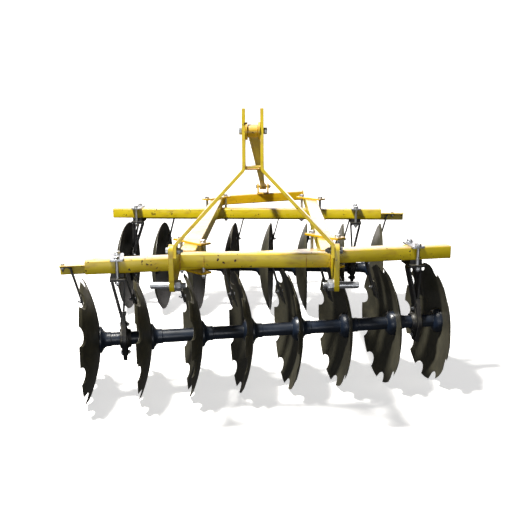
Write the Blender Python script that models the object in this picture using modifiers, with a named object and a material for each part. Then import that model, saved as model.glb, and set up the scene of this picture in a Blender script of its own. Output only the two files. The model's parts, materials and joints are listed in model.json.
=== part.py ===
"""Mounted offset disc harrow: two angled disc gangs under a welded frame with a three-point hitch.

Metres, +Z up. The hitch faces -Y and the rails run along Y. Each gang turns about its own axle.
"""

import math

import bmesh
import bpy
from mathutils import Vector

# ---- driving dimensions -------------------------------------------------------------------
GAP = 0.0003  # clearance between pieces that touch
BITE = 0.002  # how far pieces of one node reach into each other

DISC_RADIUS = 0.282
DISC_THICK = 0.006
DISC_DISH = 0.064  # how far the rim stands off the flat middle
DISC_FLAT_RADIUS = 0.062
DISC_SPACING = 0.230
DISCS_PER_GANG = 8
DISC_SIDES = 30
RIM_OFFSET = -0.053  # the rim's plane from the disc's place on the pitch, on the concave side

NOTCHES = 10
NOTCH_RADIUS = 0.044
NOTCH_DEPTH = 0.036
NOTCH_TURN = math.radians(-3.5)  # a notch's angle from straight down, towards the rear
QUARTER_TURNED = (8,)  # discs put on their square axle a quarter turn round

AXLE_SQUARE = 0.030
SPOOL_RADIUS = 0.031
RACE_CLEARANCE = 0.0006
BELL_RADIUS = 0.062
BELL_LENGTH = 0.034
WASHER_LENGTH = 0.036
AXLE_END = 0.035
ROUND_SIDES = 16

TUBE = 0.060  # square tube of beams and crossbars
RAIL_WIDTH = 0.070
RAIL_SPREAD = 0.600  # between the rails' centre lines
BEAM_BOTTOM = 0.590
BEAM_DEPTH = 0.080

FRONT_YAW = math.radians(10.6)
FRONT_PLACE = (0.059, 0.323)
FRONT_BEAM_LENGTH = 1.6865
FRONT_BEAM_SHIFT = 0.0068  # beam's middle along the gang
FRONT_BEAM_BACK = 0.007  # beam's centre line behind the axle
FRONT_CLAMP_BACK = -0.003  # its clamps' middles, kept clear of the scraper bar

REAR_YAW = math.radians(-3.5)
REAR_PLACE = (-0.124, 1.648)
REAR_BEAM_LENGTH = 1.712
REAR_BEAM_SHIFT = 0.006
REAR_BEAM_BACK = 0.050

REAR_BAR_YAW = math.radians(22.7)
REAR_BAR_Y = 1.951  # its front face at X = 0
RIGHT_RAIL_END = 2.130
LEFT_RAIL_END = 1.925

HITCH_X = -0.011  # the hitch stands a little off the rails' middle
HITCH_SPREAD = 0.665  # between the hitch plates' outer faces
HITCH_PLATE = 0.020
PIN_Y = -0.160
PIN_DROP = 0.0323  # below the rails
PIN_RADIUS = 0.014
PIN_REACH = 0.078
FOOT_BOLT_RISE = 0.0467  # above the rails
PLATE_TIP_RADIUS = 0.026

MAST_X = -0.0125  # the mast stands a little off the middle
MAST_BAR = 0.013
MAST_WIDTH = 0.060
MAST_GAP = 0.058
MAST_BEND_Z = 1.064
MAST_TOP_Z = 1.300
MAST_TOP_Y = -0.050
MAST_BOLT_Z = 1.213
MAST_BOLT_HEAD = 0.015
SPOOL_CORE = 0.018
SPOOL_RIM = 0.034
SPOOL_RIM_THICK = 0.008

STAY_X = -0.006
STAY_LUG_RISE = 0.0477  # above the rails
STAY_EYE_RADIUS = 0.0255
STAY_EYE_HALF = 0.0195
STAY_LOW_EYE_RADIUS = 0.019
STAY_DEPTH = 0.030
STAY_OUTLINE = (  # (across, along from the top bolt); the endless points stop at the low eye
    (-0.019, 0.012), (0.019, 0.012), (0.019, 0.038), (0.024, 0.046), (0.0125, math.inf),
    (-0.0125, math.inf), (-0.014, 0.046), (-0.019, 0.034),
)
LUG_SPREAD = 0.056
LUG_PLATE = 0.010

CLAMP_PLATE = (0.200, 0.056, 0.010)
CLAMP_BOLT_REACH = 0.078
CLAMP_CORNER = 0.022  # cut off the under plate's corners, clear of the scraper arms
BOLT_RADIUS = 0.008
NUT_RADIUS = 0.014
NUT_HEIGHT = 0.012
BOLT_END = 0.010  # thread showing past the nut

HANGERS = {  # along the gang: the eye plate, and the main strip's top
    "front": {"left": (-0.682, -0.669), "right": (0.700, 0.709)},
    "rear": {"left": (-0.733, -0.721), "right": (0.688, 0.676)},
}
HANGER_PLATE = (0.068, 0.138, 0.012)
HANGER_SPACER = 0.019
HANGER_BOLT_REACH = 0.056
HANGER_BRACE = 0.058  # from the main strip's top to the brace's
HANGER_LEG = 0.010
HANGER_WIDTH = 0.060
HANGER_JOIN = 0.100  # above the axle
HANGER_TIP = 0.097  # below the axle
HANGER_EYE_RADIUS = 0.060
HANGER_EYE_THICK = 0.018
HANGER_TIP_HALF = 0.026
HANGER_CLAMP = (0.060, 0.140, 0.009)

BEARING_BOLT = 0.066
BEARING_RADIUS = 0.050
BEARING_LENGTH = 0.022
BEARING_BOSS = 0.046
BEARING_SLEEVE = 0.040
BEARING_FLANGE = 0.009
BEARING_EAR = 0.016

SCRAPER_ANGLE = 0.050
SCRAPER_ANGLE_THICK = 0.005
SCRAPER_BAR_RISE = 0.020  # its top above the beams' underside
SCRAPER_BAR_FACE = 0.068  # the angle bar's front edge, behind the beam's centre line
SCRAPER_BAR_LENGTH = 1.740
SCRAPER_BAR_END = {"front": 0.0177, "rear": 0.1027}  # past the outermost arm's top
SCRAPER_ARM_WIDTH = 0.034
SCRAPER_ARM_THICK = 0.007
SCRAPER_BLADE_WIDTH = 0.076
SCRAPER_BLADE_HEIGHT = 0.090
SCRAPER_LOW = 0.100  # the blade's lower edge above the axle
SCRAPER_STAND = 0.058  # the blade's lower edge off the disc's middle
SCRAPER_SLOPE = 0.27
SCRAPER_TAB = 0.050
SCRAPER_FOOT = 0.024  # the feet by which the bar stands on the hangers' head plates
SCRAPER_FOOT_ASIDE = 0.020

YELLOW = (0.72, 0.58, 0.015, 1.0)
BLACK = (0.012, 0.013, 0.016, 1.0)
DARK_STEEL = (0.035, 0.034, 0.030, 1.0)
ZINC = (0.62, 0.63, 0.66, 1.0)

# ---- sizes worked out from them -----------------------------------------------------------
BEAM_TOP = BEAM_BOTTOM + TUBE
RAIL_BOTTOM = BEAM_TOP + GAP
RAIL_TOP = RAIL_BOTTOM + TUBE
SCRAPER_BAR_TOP = BEAM_BOTTOM + SCRAPER_BAR_RISE
FOOT_BOLT_Z = RAIL_TOP + FOOT_BOLT_RISE
STAY_LUG_Z = RAIL_TOP + STAY_LUG_RISE
PIN_Z = RAIL_BOTTOM - PIN_DROP
AXLE_Z = DISC_RADIUS * math.cos(math.pi / DISC_SIDES)  # the discs stand on the flat between two corners


# ---- helpers ------------------------------------------------------------------------------
def clear_scene():
    for obj in list(bpy.data.objects):
        bpy.data.objects.remove(obj)


def new_collection(name):
    made = bpy.data.collections.new(name)
    bpy.context.scene.collection.children.link(made)
    return made


clear_scene()
HARROW = new_collection("disc_harrow")
CUTTERS = new_collection("cutters")
ROOT = bpy.data.objects.new("harrow", None)
HARROW.objects.link(ROOT)


def material(name, color, roughness, metallic):
    made = bpy.data.materials.new(name)
    made.use_nodes = True
    shader = made.node_tree.nodes["Principled BSDF"]
    shader.inputs["Base Color"].default_value = color
    shader.inputs["Roughness"].default_value = roughness
    shader.inputs["Metallic"].default_value = metallic
    made.diffuse_color = color
    return made


FINISHES = {
    "yellow": (YELLOW, 0.42, 0.0),
    "black": (BLACK, 0.45, 0.0),
    "disc": (DARK_STEEL, 0.40, 0.6),
    "zinc": (ZINC, 0.35, 0.9),
}


def finish(obj, kind):
    color, roughness, metallic = FINISHES[kind]
    obj.data.materials.clear()
    obj.data.materials.append(material(obj.name + "_" + kind, color, roughness, metallic))
    return obj


def add_mesh(name, bm, collection=None):
    data = bpy.data.meshes.new(name)
    bm.to_mesh(data)
    bm.free()
    obj = bpy.data.objects.new(name, data)
    (collection or HARROW).objects.link(obj)
    return obj


def box(name, size, center, collection=None):
    """A box with its middle at center."""
    bm = bmesh.new()
    bmesh.ops.create_cube(bm, size=1.0)
    bmesh.ops.scale(bm, vec=size, verts=bm.verts)
    bmesh.ops.translate(bm, vec=center, verts=bm.verts)
    return add_mesh(name, bm, collection)


def rod(name, radius, start, end, sides=ROUND_SIDES, collection=None):
    """A round bar between two points."""
    start, end = Vector(start), Vector(end)
    along = end - start
    bm = bmesh.new()
    bmesh.ops.create_cone(
        bm, cap_ends=True, segments=sides, radius1=radius, radius2=radius, depth=along.length
    )
    turn = along.to_track_quat("Z", "Y").to_matrix()
    bmesh.ops.rotate(bm, cent=(0, 0, 0), matrix=turn, verts=bm.verts)
    bmesh.ops.translate(bm, vec=(start + end) / 2, verts=bm.verts)
    return add_mesh(name, bm, collection)


def prism(name, outline, axis, middle, thick, collection=None):
    """A flat outline given thickness along one axis: X takes (y, z) points, Y (x, z), Z (x, y)."""
    places = {"X": (1, 2), "Y": (0, 2), "Z": (0, 1)}[axis]
    across = "XYZ".index(axis)
    bm = bmesh.new()
    corners = []
    for first, second in outline:
        point = [0.0, 0.0, 0.0]
        point[across] = middle - thick / 2
        point[places[0]] = first
        point[places[1]] = second
        corners.append(bm.verts.new(point))
    face = bm.faces.new(corners)
    grown = bmesh.ops.extrude_face_region(bm, geom=[face])
    step = Vector((0, 0, 0))
    step[across] = thick
    moved = [item for item in grown["geom"] if isinstance(item, bmesh.types.BMVert)]
    bmesh.ops.translate(bm, vec=step, verts=moved)
    bmesh.ops.recalc_face_normals(bm, faces=bm.faces)
    return add_mesh(name, bm, collection)


def arc(center, radius, start, stop, count):
    """Points on an arc, in degrees."""
    points = []
    for index in range(count + 1):
        angle = math.radians(start + (stop - start) * index / count)
        points.append((center[0] + radius * math.cos(angle), center[1] + radius * math.sin(angle)))
    return points


def turned(name, profile, sides, lead=0.0):
    """A turned piece about X, from (along, radius) points that start and end on the axis."""
    bm = bmesh.new()
    corners = [
        bm.verts.new((along, radius * math.sin(lead), radius * math.cos(lead))) for along, radius in profile
    ]
    for first, second in zip(corners, corners[1:]):
        bm.edges.new((first, second))
    obj = add_mesh(name, bm)
    screw = obj.modifiers.new("turn", "SCREW")
    screw.axis = "X"
    screw.steps = sides
    screw.render_steps = sides
    screw.use_merge_vertices = True
    screw.merge_threshold = 0.00005
    screw.use_normal_calculate = True
    return obj


def combine(obj, others, operation="UNION"):
    """Joins or cuts with exact Booleans. The other pieces become hidden helpers."""
    for other in others:
        for collection in list(other.users_collection):
            collection.objects.unlink(other)
        CUTTERS.objects.link(other)
        other.hide_render = True
        other.display_type = "WIRE"
        step = obj.modifiers.new(operation.lower(), "BOOLEAN")
        step.operation = operation
        step.solver = "EXACT"
        step.object = other
    return obj


def cut(obj, others):
    return combine(obj, others, "DIFFERENCE")


def bolt(name, top, bottom, x, y, radius=BOLT_RADIUS):
    """Upright bolt with a head above top and a nut below bottom: three overlapping pieces."""
    return [
        rod(name + "_shank", radius, (x, y, bottom - NUT_HEIGHT - BOLT_END), (x, y, top + BITE), 12),
        rod(name + "_head", NUT_RADIUS, (x, y, top), (x, y, top + NUT_HEIGHT), 6),
        rod(name + "_nut", NUT_RADIUS, (x, y, bottom - NUT_HEIGHT), (x, y, bottom), 6),
    ]


def empty(name, parent, location=(0, 0, 0), yaw=0.0):
    made = bpy.data.objects.new(name, None)
    HARROW.objects.link(made)
    made.parent = parent
    made.location = location
    made.rotation_euler = (0, 0, yaw)
    return made


def hang_all(before, parent):
    """Parents every object made since the given set, helpers too."""
    for obj in bpy.data.objects:
        if obj not in before and obj.type == "MESH" and obj.parent is None:
            obj.parent = parent


# ---- frame --------------------------------------------------------------------------------
def rails():
    for side, end in (("left", LEFT_RAIL_END), ("right", RIGHT_RAIL_END)):
        x = RAIL_SPREAD / 2 * (-1 if side == "left" else 1)
        start = TUBE + GAP
        middle = (x, (start + end) / 2, RAIL_BOTTOM + TUBE / 2)
        finish(box(side + "_rail", (RAIL_WIDTH, end - start, TUBE), middle), "yellow")


def front_crossbar():
    length = HITCH_SPREAD - 2 * HITCH_PLATE - 2 * GAP
    middle = (HITCH_X, TUBE / 2, RAIL_BOTTOM + TUBE / 2)
    finish(box("front_crossbar", (length, TUBE, TUBE), middle), "yellow")


def rear_crossbar():
    """Slants across between the rails' inner sides, its ends cut to the rails."""
    inner = RAIL_SPREAD / 2 - RAIL_WIDTH / 2 - GAP
    slope = math.tan(REAR_BAR_YAW)
    deep = TUBE / math.cos(REAR_BAR_YAW)
    outline = [
        (-inner, REAR_BAR_Y - inner * slope),
        (inner, REAR_BAR_Y + inner * slope),
        (inner, REAR_BAR_Y + inner * slope + deep),
        (-inner, REAR_BAR_Y - inner * slope + deep),
    ]
    bar = prism("rear_crossbar", outline, "Z", RAIL_BOTTOM + TUBE / 2, TUBE)
    finish(bar, "yellow")


def hitch_plates():
    """Side plates on the crossbar's ends that carry the lower pins and the mast's feet."""
    tip = (PIN_Y, PIN_Z)
    top = (PIN_Y, FOOT_BOLT_Z)
    outline = [(TUBE, RAIL_BOTTOM), (TUBE, RAIL_TOP)]
    outline += arc(top, PLATE_TIP_RADIUS, 75, 180, 6)
    outline += arc(tip, PLATE_TIP_RADIUS, 180, 310, 7)
    for side, sign in (("left", -1), ("right", 1)):
        outer = HITCH_X + sign * HITCH_SPREAD / 2
        plate = prism(side + "_hitch_plate", outline, "X", outer - sign * HITCH_PLATE / 2, HITCH_PLATE)
        hole = PIN_RADIUS + GAP
        reach = HITCH_PLATE
        eyes = [
            rod(side + "_pin_eye", hole, (outer - reach * 2, *tip), (outer + reach * 2, *tip),
                collection=CUTTERS),
            rod(side + "_foot_eye", BOLT_RADIUS + GAP, (outer - reach * 2, *top),
                (outer + reach * 2, *top), 12, CUTTERS),
        ]
        cut(plate, eyes)
        finish(plate, "yellow")


def lower_pins():
    for side, sign in (("left", -1), ("right", 1)):
        outer = HITCH_X + sign * HITCH_SPREAD / 2
        inner = outer - sign * HITCH_PLATE
        pin = rod(side + "_lower_pin", PIN_RADIUS, (inner - sign * 0.042, PIN_Y, PIN_Z),
                  (outer + sign * PIN_REACH, PIN_Y, PIN_Z))
        nut = rod(side + "_pin_nut", 0.023, (inner - sign * 0.026, PIN_Y, PIN_Z),
                  (inner - sign * GAP, PIN_Y, PIN_Z), 6)
        collar = rod(side + "_pin_collar", 0.021, (outer + sign * GAP, PIN_Y, PIN_Z),
                     (outer + sign * 0.008, PIN_Y, PIN_Z), 16)
        combine(pin, [nut, collar])
        finish(pin, "zinc")


# ---- mast ---------------------------------------------------------------------------------
def mast_y(z):
    """The mast leans back from its feet to its top."""
    share = (z - FOOT_BOLT_Z) / (MAST_TOP_Z - FOOT_BOLT_Z)
    return PIN_Y + (MAST_TOP_Y - PIN_Y) * share


def lean(obj):
    """Slants a mast piece, modelled upright over the feet, back along Y."""
    slope = (MAST_TOP_Y - PIN_Y) / (MAST_TOP_Z - FOOT_BOLT_Z)
    for vert in obj.data.vertices:
        vert.co.y += PIN_Y + (vert.co.z - FOOT_BOLT_Z) * slope
    return obj


def mast_legs():
    foot_low = FOOT_BOLT_Z - 0.024
    foot_top = FOOT_BOLT_Z + 0.030
    foot = HITCH_SPREAD / 2 - HITCH_PLATE - GAP
    for side, sign in (("left", -1), ("right", 1)):
        near = HITCH_X + sign * foot
        far = HITCH_X + sign * (foot - MAST_BAR)
        low = MAST_X + sign * (MAST_GAP / 2 + MAST_BAR)
        high = MAST_X + sign * MAST_GAP / 2
        outline = [
            (far, foot_low), (near, foot_low), (near, foot_top),
            (low, MAST_BEND_Z + 0.006), (low, MAST_TOP_Z),
            (high, MAST_TOP_Z), (high, MAST_BEND_Z), (far, foot_top - 0.012),
        ]
        leg = prism(side + "_mast_leg", outline, "Y", 0.0, MAST_WIDTH)
        lean(leg)
        eyes = [
            rod(side + "_leg_foot_eye", BOLT_RADIUS + GAP, (near * 1.2, PIN_Y, FOOT_BOLT_Z),
                (far * 0.8, PIN_Y, FOOT_BOLT_Z), 12, CUTTERS),
            rod(side + "_leg_top_eye", BOLT_RADIUS + GAP,
                (MAST_X - 0.1, mast_y(MAST_BOLT_Z), MAST_BOLT_Z),
                (MAST_X + 0.1, mast_y(MAST_BOLT_Z), MAST_BOLT_Z), 12, CUTTERS),
        ]
        cut(leg, eyes)
        finish(leg, "yellow")


def foot_bolts():
    for side, sign in (("left", -1), ("right", 1)):
        outer = HITCH_X + sign * HITCH_SPREAD / 2
        inner = HITCH_X + sign * (HITCH_SPREAD / 2 - HITCH_PLATE - 2 * GAP - MAST_BAR)
        place = (PIN_Y, FOOT_BOLT_Z)
        bolt_ = rod(side + "_foot_bolt", BOLT_RADIUS, (inner - sign * 0.018, *place),
                    (outer + sign * 0.004, *place), 12)
        head = rod(side + "_foot_head", NUT_RADIUS, (outer + sign * GAP, *place),
                   (outer + sign * 0.010, *place), 6)
        nut = rod(side + "_foot_nut", NUT_RADIUS, (inner - sign * GAP, *place),
                  (inner - sign * 0.013, *place), 6)
        combine(bolt_, [head, nut])
        finish(bolt_, "zinc")


def mast_fittings():
    half = MAST_GAP / 2 - GAP
    z = MAST_BOLT_Z
    y = mast_y(z)
    strap_z = MAST_BEND_Z + 0.012
    strap = box("mast_strap", (2 * half, MAST_WIDTH * 0.8, 0.010), (MAST_X, mast_y(strap_z), strap_z))
    finish(strap, "yellow")
    spool = rod("mast_spool", SPOOL_CORE, (MAST_X - half, y, z), (MAST_X + half, y, z))
    rims = []
    for sign in (-1, 1):
        end = MAST_X + sign * half
        rims.append(rod("spool_rim", SPOOL_RIM, (end - sign * SPOOL_RIM_THICK, y, z), (end, y, z)))
    combine(spool, rims)
    bore = rod("spool_bore", BOLT_RADIUS + GAP, (MAST_X - 0.1, y, z), (MAST_X + 0.1, y, z), 12, CUTTERS)
    cut(spool, [bore])
    finish(spool, "yellow")
    outer = MAST_GAP / 2 + MAST_BAR + GAP
    head_end = MAST_X - outer - MAST_BOLT_HEAD
    nut_end = MAST_X + outer + NUT_HEIGHT * 0.75
    pin = rod("mast_bolt", BOLT_RADIUS, (head_end, y, z), (nut_end + BITE, y, z), 12)
    ends = [
        rod("mast_bolt_head", NUT_RADIUS, (head_end, y, z), (MAST_X - outer, y, z), 6),
        rod("mast_bolt_nut", NUT_RADIUS, (MAST_X + outer, y, z), (nut_end, y, z), 6),
    ]
    combine(pin, ends)
    finish(pin, "zinc")


def stay_bar(top, low):
    """The stay's flat bar, drawn upright and then laid from the top bolt to the low one."""
    run = low - top
    outline = [(across, min(along, run.length)) for across, along in STAY_OUTLINE]
    bar = prism("mast_stay", outline, "Y", 0.0, STAY_DEPTH)
    down = Vector((0, run.y, run.z)).normalized()
    for vert in bar.data.vertices:
        across, aside, along = vert.co
        vert.co = top + down * along + Vector((0, down.z, -down.y)) * aside
        vert.co.x += across + run.x * along / run.length
    return bar


def stay():
    """A tapered bar from the mast's spool down to a fork on the slanted rear crossbar."""
    bar_y = REAR_BAR_Y + STAY_X * math.tan(REAR_BAR_YAW)
    back_y = bar_y + 0.012
    deep = 0.050
    base_top = RAIL_TOP + GAP + LUG_PLATE
    fork = box("stay_bracket", (LUG_SPREAD + 2 * LUG_PLATE, deep, LUG_PLATE),
               (STAY_X, back_y, RAIL_TOP + GAP + LUG_PLATE / 2))
    ears = []
    for sign in (-1, 1):
        x = STAY_X + sign * (LUG_SPREAD + LUG_PLATE) / 2
        height = STAY_LUG_Z + 0.022 - base_top + 0.004
        ears.append(box("stay_ear", (LUG_PLATE, deep, height), (x, back_y, base_top - 0.004 + height / 2)))
    combine(fork, ears)
    reach = LUG_SPREAD
    eye = rod("stay_ear_eye", BOLT_RADIUS + GAP, (STAY_X - reach, back_y, STAY_LUG_Z),
              (STAY_X + reach, back_y, STAY_LUG_Z), 12, CUTTERS)
    cut(fork, [eye])
    finish(fork, "yellow")

    outer = LUG_SPREAD / 2 + LUG_PLATE + GAP
    pin = rod("stay_bolt", BOLT_RADIUS, (STAY_X - outer - 0.010, back_y, STAY_LUG_Z),
              (STAY_X + outer + 0.012, back_y, STAY_LUG_Z), 12)
    ends = [
        rod("stay_bolt_head", NUT_RADIUS, (STAY_X - outer - 0.010, back_y, STAY_LUG_Z),
            (STAY_X - outer, back_y, STAY_LUG_Z), 6),
        rod("stay_bolt_nut", NUT_RADIUS, (STAY_X + outer, back_y, STAY_LUG_Z),
            (STAY_X + outer + 0.011, back_y, STAY_LUG_Z), 6),
    ]
    combine(pin, ends)
    finish(pin, "zinc")

    top = Vector((MAST_X, mast_y(MAST_BOLT_Z), MAST_BOLT_Z))
    low = Vector((STAY_X, back_y, STAY_LUG_Z))
    bar = stay_bar(top, low)
    eyes = [
        rod("stay_high_eye", STAY_EYE_RADIUS, top - Vector((STAY_EYE_HALF, 0, 0)),
            top + Vector((STAY_EYE_HALF, 0, 0)), 24),
        rod("stay_low_eye", STAY_LOW_EYE_RADIUS, (STAY_X - LUG_SPREAD / 2 + 0.004, back_y, STAY_LUG_Z),
            (STAY_X + LUG_SPREAD / 2 - 0.004, back_y, STAY_LUG_Z)),
    ]
    combine(bar, eyes)
    half = MAST_GAP / 2
    cuts = [
        rod("stay_low_bore", BOLT_RADIUS + GAP, low - Vector((half, 0, 0)), low + Vector((half, 0, 0)),
            12, CUTTERS),
        rod("stay_high_bore", SPOOL_CORE + GAP, top - Vector((half, 0, 0)), top + Vector((half, 0, 0)),
            collection=CUTTERS),
    ]
    cut(bar, cuts)
    finish(bar, "yellow")


# ---- clamps between rails and gang beams ---------------------------------------------------
def frame_clamp(name, place, yaw):
    """Two plates over and under a rail and a beam, drawn together by two bolts across the corner."""
    length, width, thick = CLAMP_PLATE
    before = set(bpy.data.objects)
    top = RAIL_TOP + GAP
    bottom = BEAM_BOTTOM - GAP
    clamp = box(name, (length, width, thick), (0, 0, top + thick / 2))
    cut_x, cut_y = length / 2 - CLAMP_CORNER, width / 2 - CLAMP_CORNER
    corners = [(length / 2, cut_y), (cut_x, width / 2), (-cut_x, width / 2), (-length / 2, cut_y)]
    outline = corners + [(-x, -y) for x, y in corners]
    parts = [prism(name + "_under", outline, "Z", bottom - thick / 2, thick)]
    for sign in (-1, 1):
        parts += bolt(name + "_bolt", top + thick - 0.001, bottom - thick + 0.001,
                      sign * CLAMP_BOLT_REACH, 0)
    combine(clamp, parts)
    holder = empty(name + "_place", ROOT, (*place, 0), yaw)
    hang_all(before, holder)
    finish(clamp, "yellow")


def frame_clamps():
    for gang, (x0, y0), yaw, back, turns in (
        ("front", FRONT_PLACE, FRONT_YAW, FRONT_CLAMP_BACK, (-45, -45)),
        ("rear", REAR_PLACE, REAR_YAW, REAR_BEAM_BACK, (45, -45)),
    ):
        for side, sign, turn in (("left", -1, turns[0]), ("right", 1, turns[1])):
            x = sign * RAIL_SPREAD / 2
            y = y0 + back / math.cos(yaw) + (x - x0) * math.tan(yaw)
            frame_clamp(gang + "_" + side + "_clamp", (x, y), math.radians(turn))


# ---- gangs --------------------------------------------------------------------------------
def dish_fall(radius):
    """How far a disc's sheet has left its flat middle at this radius."""
    return DISC_DISH * (radius**2 - DISC_FLAT_RADIUS**2) / (DISC_RADIUS**2 - DISC_FLAT_RADIUS**2)


def disc_profile(facing):
    """Half section about X of a dished disc whose middle is at 0 and whose rim is towards -facing."""
    dish = []
    steps = 2
    for index in range(steps + 1):
        radius = DISC_FLAT_RADIUS + (DISC_RADIUS - DISC_FLAT_RADIUS) * index / steps
        dish.append((-facing * dish_fall(radius), radius))
    half = DISC_THICK / 2
    concave = [(x - facing * half, r) for x, r in dish]
    convex = [(x + facing * half, r) for x, r in dish]
    concave[-1] = (concave[-1][0] + facing * 0.001, DISC_RADIUS)
    return [(-facing * half, 0.0)] + concave + convex[::-1] + [(facing * half, 0.0)]


def disc(name, along, facing, notched, turn):
    piece = turned(name, disc_profile(facing), DISC_SIDES, math.pi / DISC_SIDES)
    hole = AXLE_SQUARE + 2 * GAP
    cuts = [box(name + "_hole", (0.06, hole, hole), (0, 0, 0), CUTTERS)]
    if notched:
        away = DISC_RADIUS + NOTCH_RADIUS - NOTCH_DEPTH
        for index in range(NOTCHES):
            angle = turn + 2 * math.pi * index / NOTCHES
            y, z = away * math.sin(angle), -away * math.cos(angle)
            cuts.append(rod(name + "_notch", NOTCH_RADIUS, (-0.2, y, z), (0.2, y, z), 12, CUTTERS))
    cut(piece, cuts)
    for obj in [piece] + cuts:
        obj.location.x = along
    finish(piece, "disc")
    return piece


def hub_place(index, facing):
    """Where a disc's flat middle sits along its gang."""
    return (index - (DISCS_PER_GANG - 1) / 2) * DISC_SPACING + facing * (RIM_OFFSET + DISC_DISH)


def gang_axle(name, facing):
    """Square bar and the turned spools that hold the discs apart, as one piece."""
    hubs = [hub_place(index, facing) for index in range(DISCS_PER_GANG)]
    half = DISC_THICK / 2 + GAP
    first, last = hubs[0] - AXLE_END - half, hubs[-1] + AXLE_END + half
    axle = box(name, (last - first, AXLE_SQUARE, AXLE_SQUARE), ((first + last) / 2, 0, 0))
    lengths = {1: (BELL_LENGTH, WASHER_LENGTH), -1: (WASHER_LENGTH, BELL_LENGTH)}
    after, ahead = lengths[facing]
    spools = []
    for left, right in zip(hubs, hubs[1:]):
        start, end = left + half, right - half
        profile = [
            (start, 0.0), (start, BELL_RADIUS), (start + after, SPOOL_RADIUS),
            (end - ahead, SPOOL_RADIUS), (end, BELL_RADIUS), (end, 0.0),
        ]
        spools.append(turned(name + "_spool", profile, ROUND_SIDES))
    for start, end in ((first, hubs[0] - half), (hubs[-1] + half, last)):
        inner, outer = (end, start) if start == first else (start, end)
        step = 0.012 if inner < outer else -0.012
        profile = [(inner, 0.0), (inner, BELL_RADIUS), (inner + step, BELL_RADIUS), (inner + step * 2, 0.024),
                   (outer, 0.024), (outer, 0.0)]
        spools.append(turned(name + "_end", profile, ROUND_SIDES))
    combine(axle, spools)
    finish(axle, "black")


def gang_beam(name, length, shift, back):
    middle = (shift, back, BEAM_BOTTOM + TUBE / 2)
    finish(box(name, (length, BEAM_DEPTH, TUBE), middle), "yellow")


def hanger(name, place, high, back, inward, facing):
    """A strip and its brace under a head plate, closing on an eye plate that carries the bearing."""
    length, width, thick = HANGER_PLATE
    top = BEAM_BOTTOM - GAP - HANGER_SPACER
    low_face = top - thick
    head_x = high - facing * HANGER_BRACE / 2
    head = box(name, (length, width, thick), (head_x, back, top - thick / 2))
    spacer_high = HANGER_SPACER + BITE
    parts = [box(name + "_spacer", (length - 0.010, BEAM_DEPTH, spacer_high),
                 (head_x, back, top - BITE + spacer_high / 2))]
    join_z = AXLE_Z + HANGER_JOIN
    half = HANGER_LEG / 2
    ends = ((high, place), (high - facing * HANGER_BRACE, place - facing * HANGER_EYE_THICK / 3))
    for upper, lower in ends:
        outline = [(upper - half, low_face + BITE), (upper + half, low_face + BITE),
                   (lower + half, join_z), (lower - half, join_z)]
        parts.append(prism(name + "_leg", outline, "Y", back, HANGER_WIDTH))
    tip = AXLE_Z - HANGER_TIP
    eye = [(HANGER_WIDTH / 2 + back, join_z + 0.02), (-HANGER_WIDTH / 2 + back, join_z + 0.02)]
    eye += arc((0, AXLE_Z), HANGER_EYE_RADIUS, 150, 210, 4)
    eye += [(-HANGER_TIP_HALF, tip), (HANGER_TIP_HALF, tip)]
    eye += arc((0, AXLE_Z), HANGER_EYE_RADIUS, -30, 30, 4)
    parts.append(prism(name + "_eye", eye, "X", place, HANGER_EYE_THICK))
    combine(head, parts)
    through = ((place - 0.1, 0, AXLE_Z), (place + 0.1, 0, AXLE_Z))
    cuts = [rod(name + "_bore", BEARING_SLEEVE + 2 * GAP, *through, collection=CUTTERS)]
    for sign in (-1, 1):
        y = back + sign * HANGER_BOLT_REACH
        cuts.append(rod(name + "_bolt_eye", BOLT_RADIUS + GAP, (head_x, y, top - 0.1),
                        (head_x, y, top + 0.1), 12, CUTTERS))
    cut(head, cuts)
    finish(head, "black")

    clamp_top = BEAM_TOP + GAP
    plate_thick = HANGER_CLAMP[2]
    plate = box(name + "_clamp", HANGER_CLAMP, (head_x, back, clamp_top + plate_thick / 2))
    bolts = []
    for sign in (-1, 1):
        bolts += bolt(name + "_clamp_bolt", clamp_top + plate_thick - BITE, low_face - GAP, head_x,
                      back + sign * HANGER_BOLT_REACH)
    combine(plate, bolts)
    finish(plate, "zinc")

    bearing(name + "_bearing", place, inward, through)


def bearing(name, place, inward, through):
    """Flanged housing on the eye plate's inner side, with its sleeve standing out through the eye."""
    face = place + inward * (HANGER_EYE_THICK / 2 + GAP)
    outer = place - inward * (HANGER_EYE_THICK / 2 + BEARING_FLANGE)
    flange = arc((0, AXLE_Z), BEARING_RADIUS, -40, 40, 5)
    flange += arc((0, AXLE_Z + BEARING_BOLT), BEARING_EAR, 30, 150, 4)
    flange += arc((0, AXLE_Z), BEARING_RADIUS, 140, 220, 5)
    flange += arc((0, AXLE_Z - BEARING_BOLT), BEARING_EAR, 210, 330, 4)
    housing = prism(name, flange, "X", face + inward * BEARING_FLANGE / 2, BEARING_FLANGE)
    boss = rod(name + "_boss", BEARING_BOSS, (face, 0, AXLE_Z), (face + inward * BEARING_LENGTH, 0, AXLE_Z), 24)
    sleeve = rod(name + "_sleeve", BEARING_SLEEVE, (outer, 0, AXLE_Z), (face + inward * BITE, 0, AXLE_Z))
    extras = [boss, sleeve]
    for sign in (-1, 1):
        z = AXLE_Z + sign * BEARING_BOLT
        stud_in = face + inward * BEARING_FLANGE / 2
        extras.append(rod(name + "_stud", BOLT_RADIUS + BITE * 2, (stud_in, 0, z),
                          (stud_in + inward * NUT_HEIGHT, 0, z), 6))
    combine(housing, extras)
    race = (SPOOL_RADIUS + RACE_CLEARANCE) / math.cos(math.pi / ROUND_SIDES)
    cut(housing, [rod(name + "_race", race, *through, collection=CUTTERS)])
    finish(housing, "black")


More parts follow.
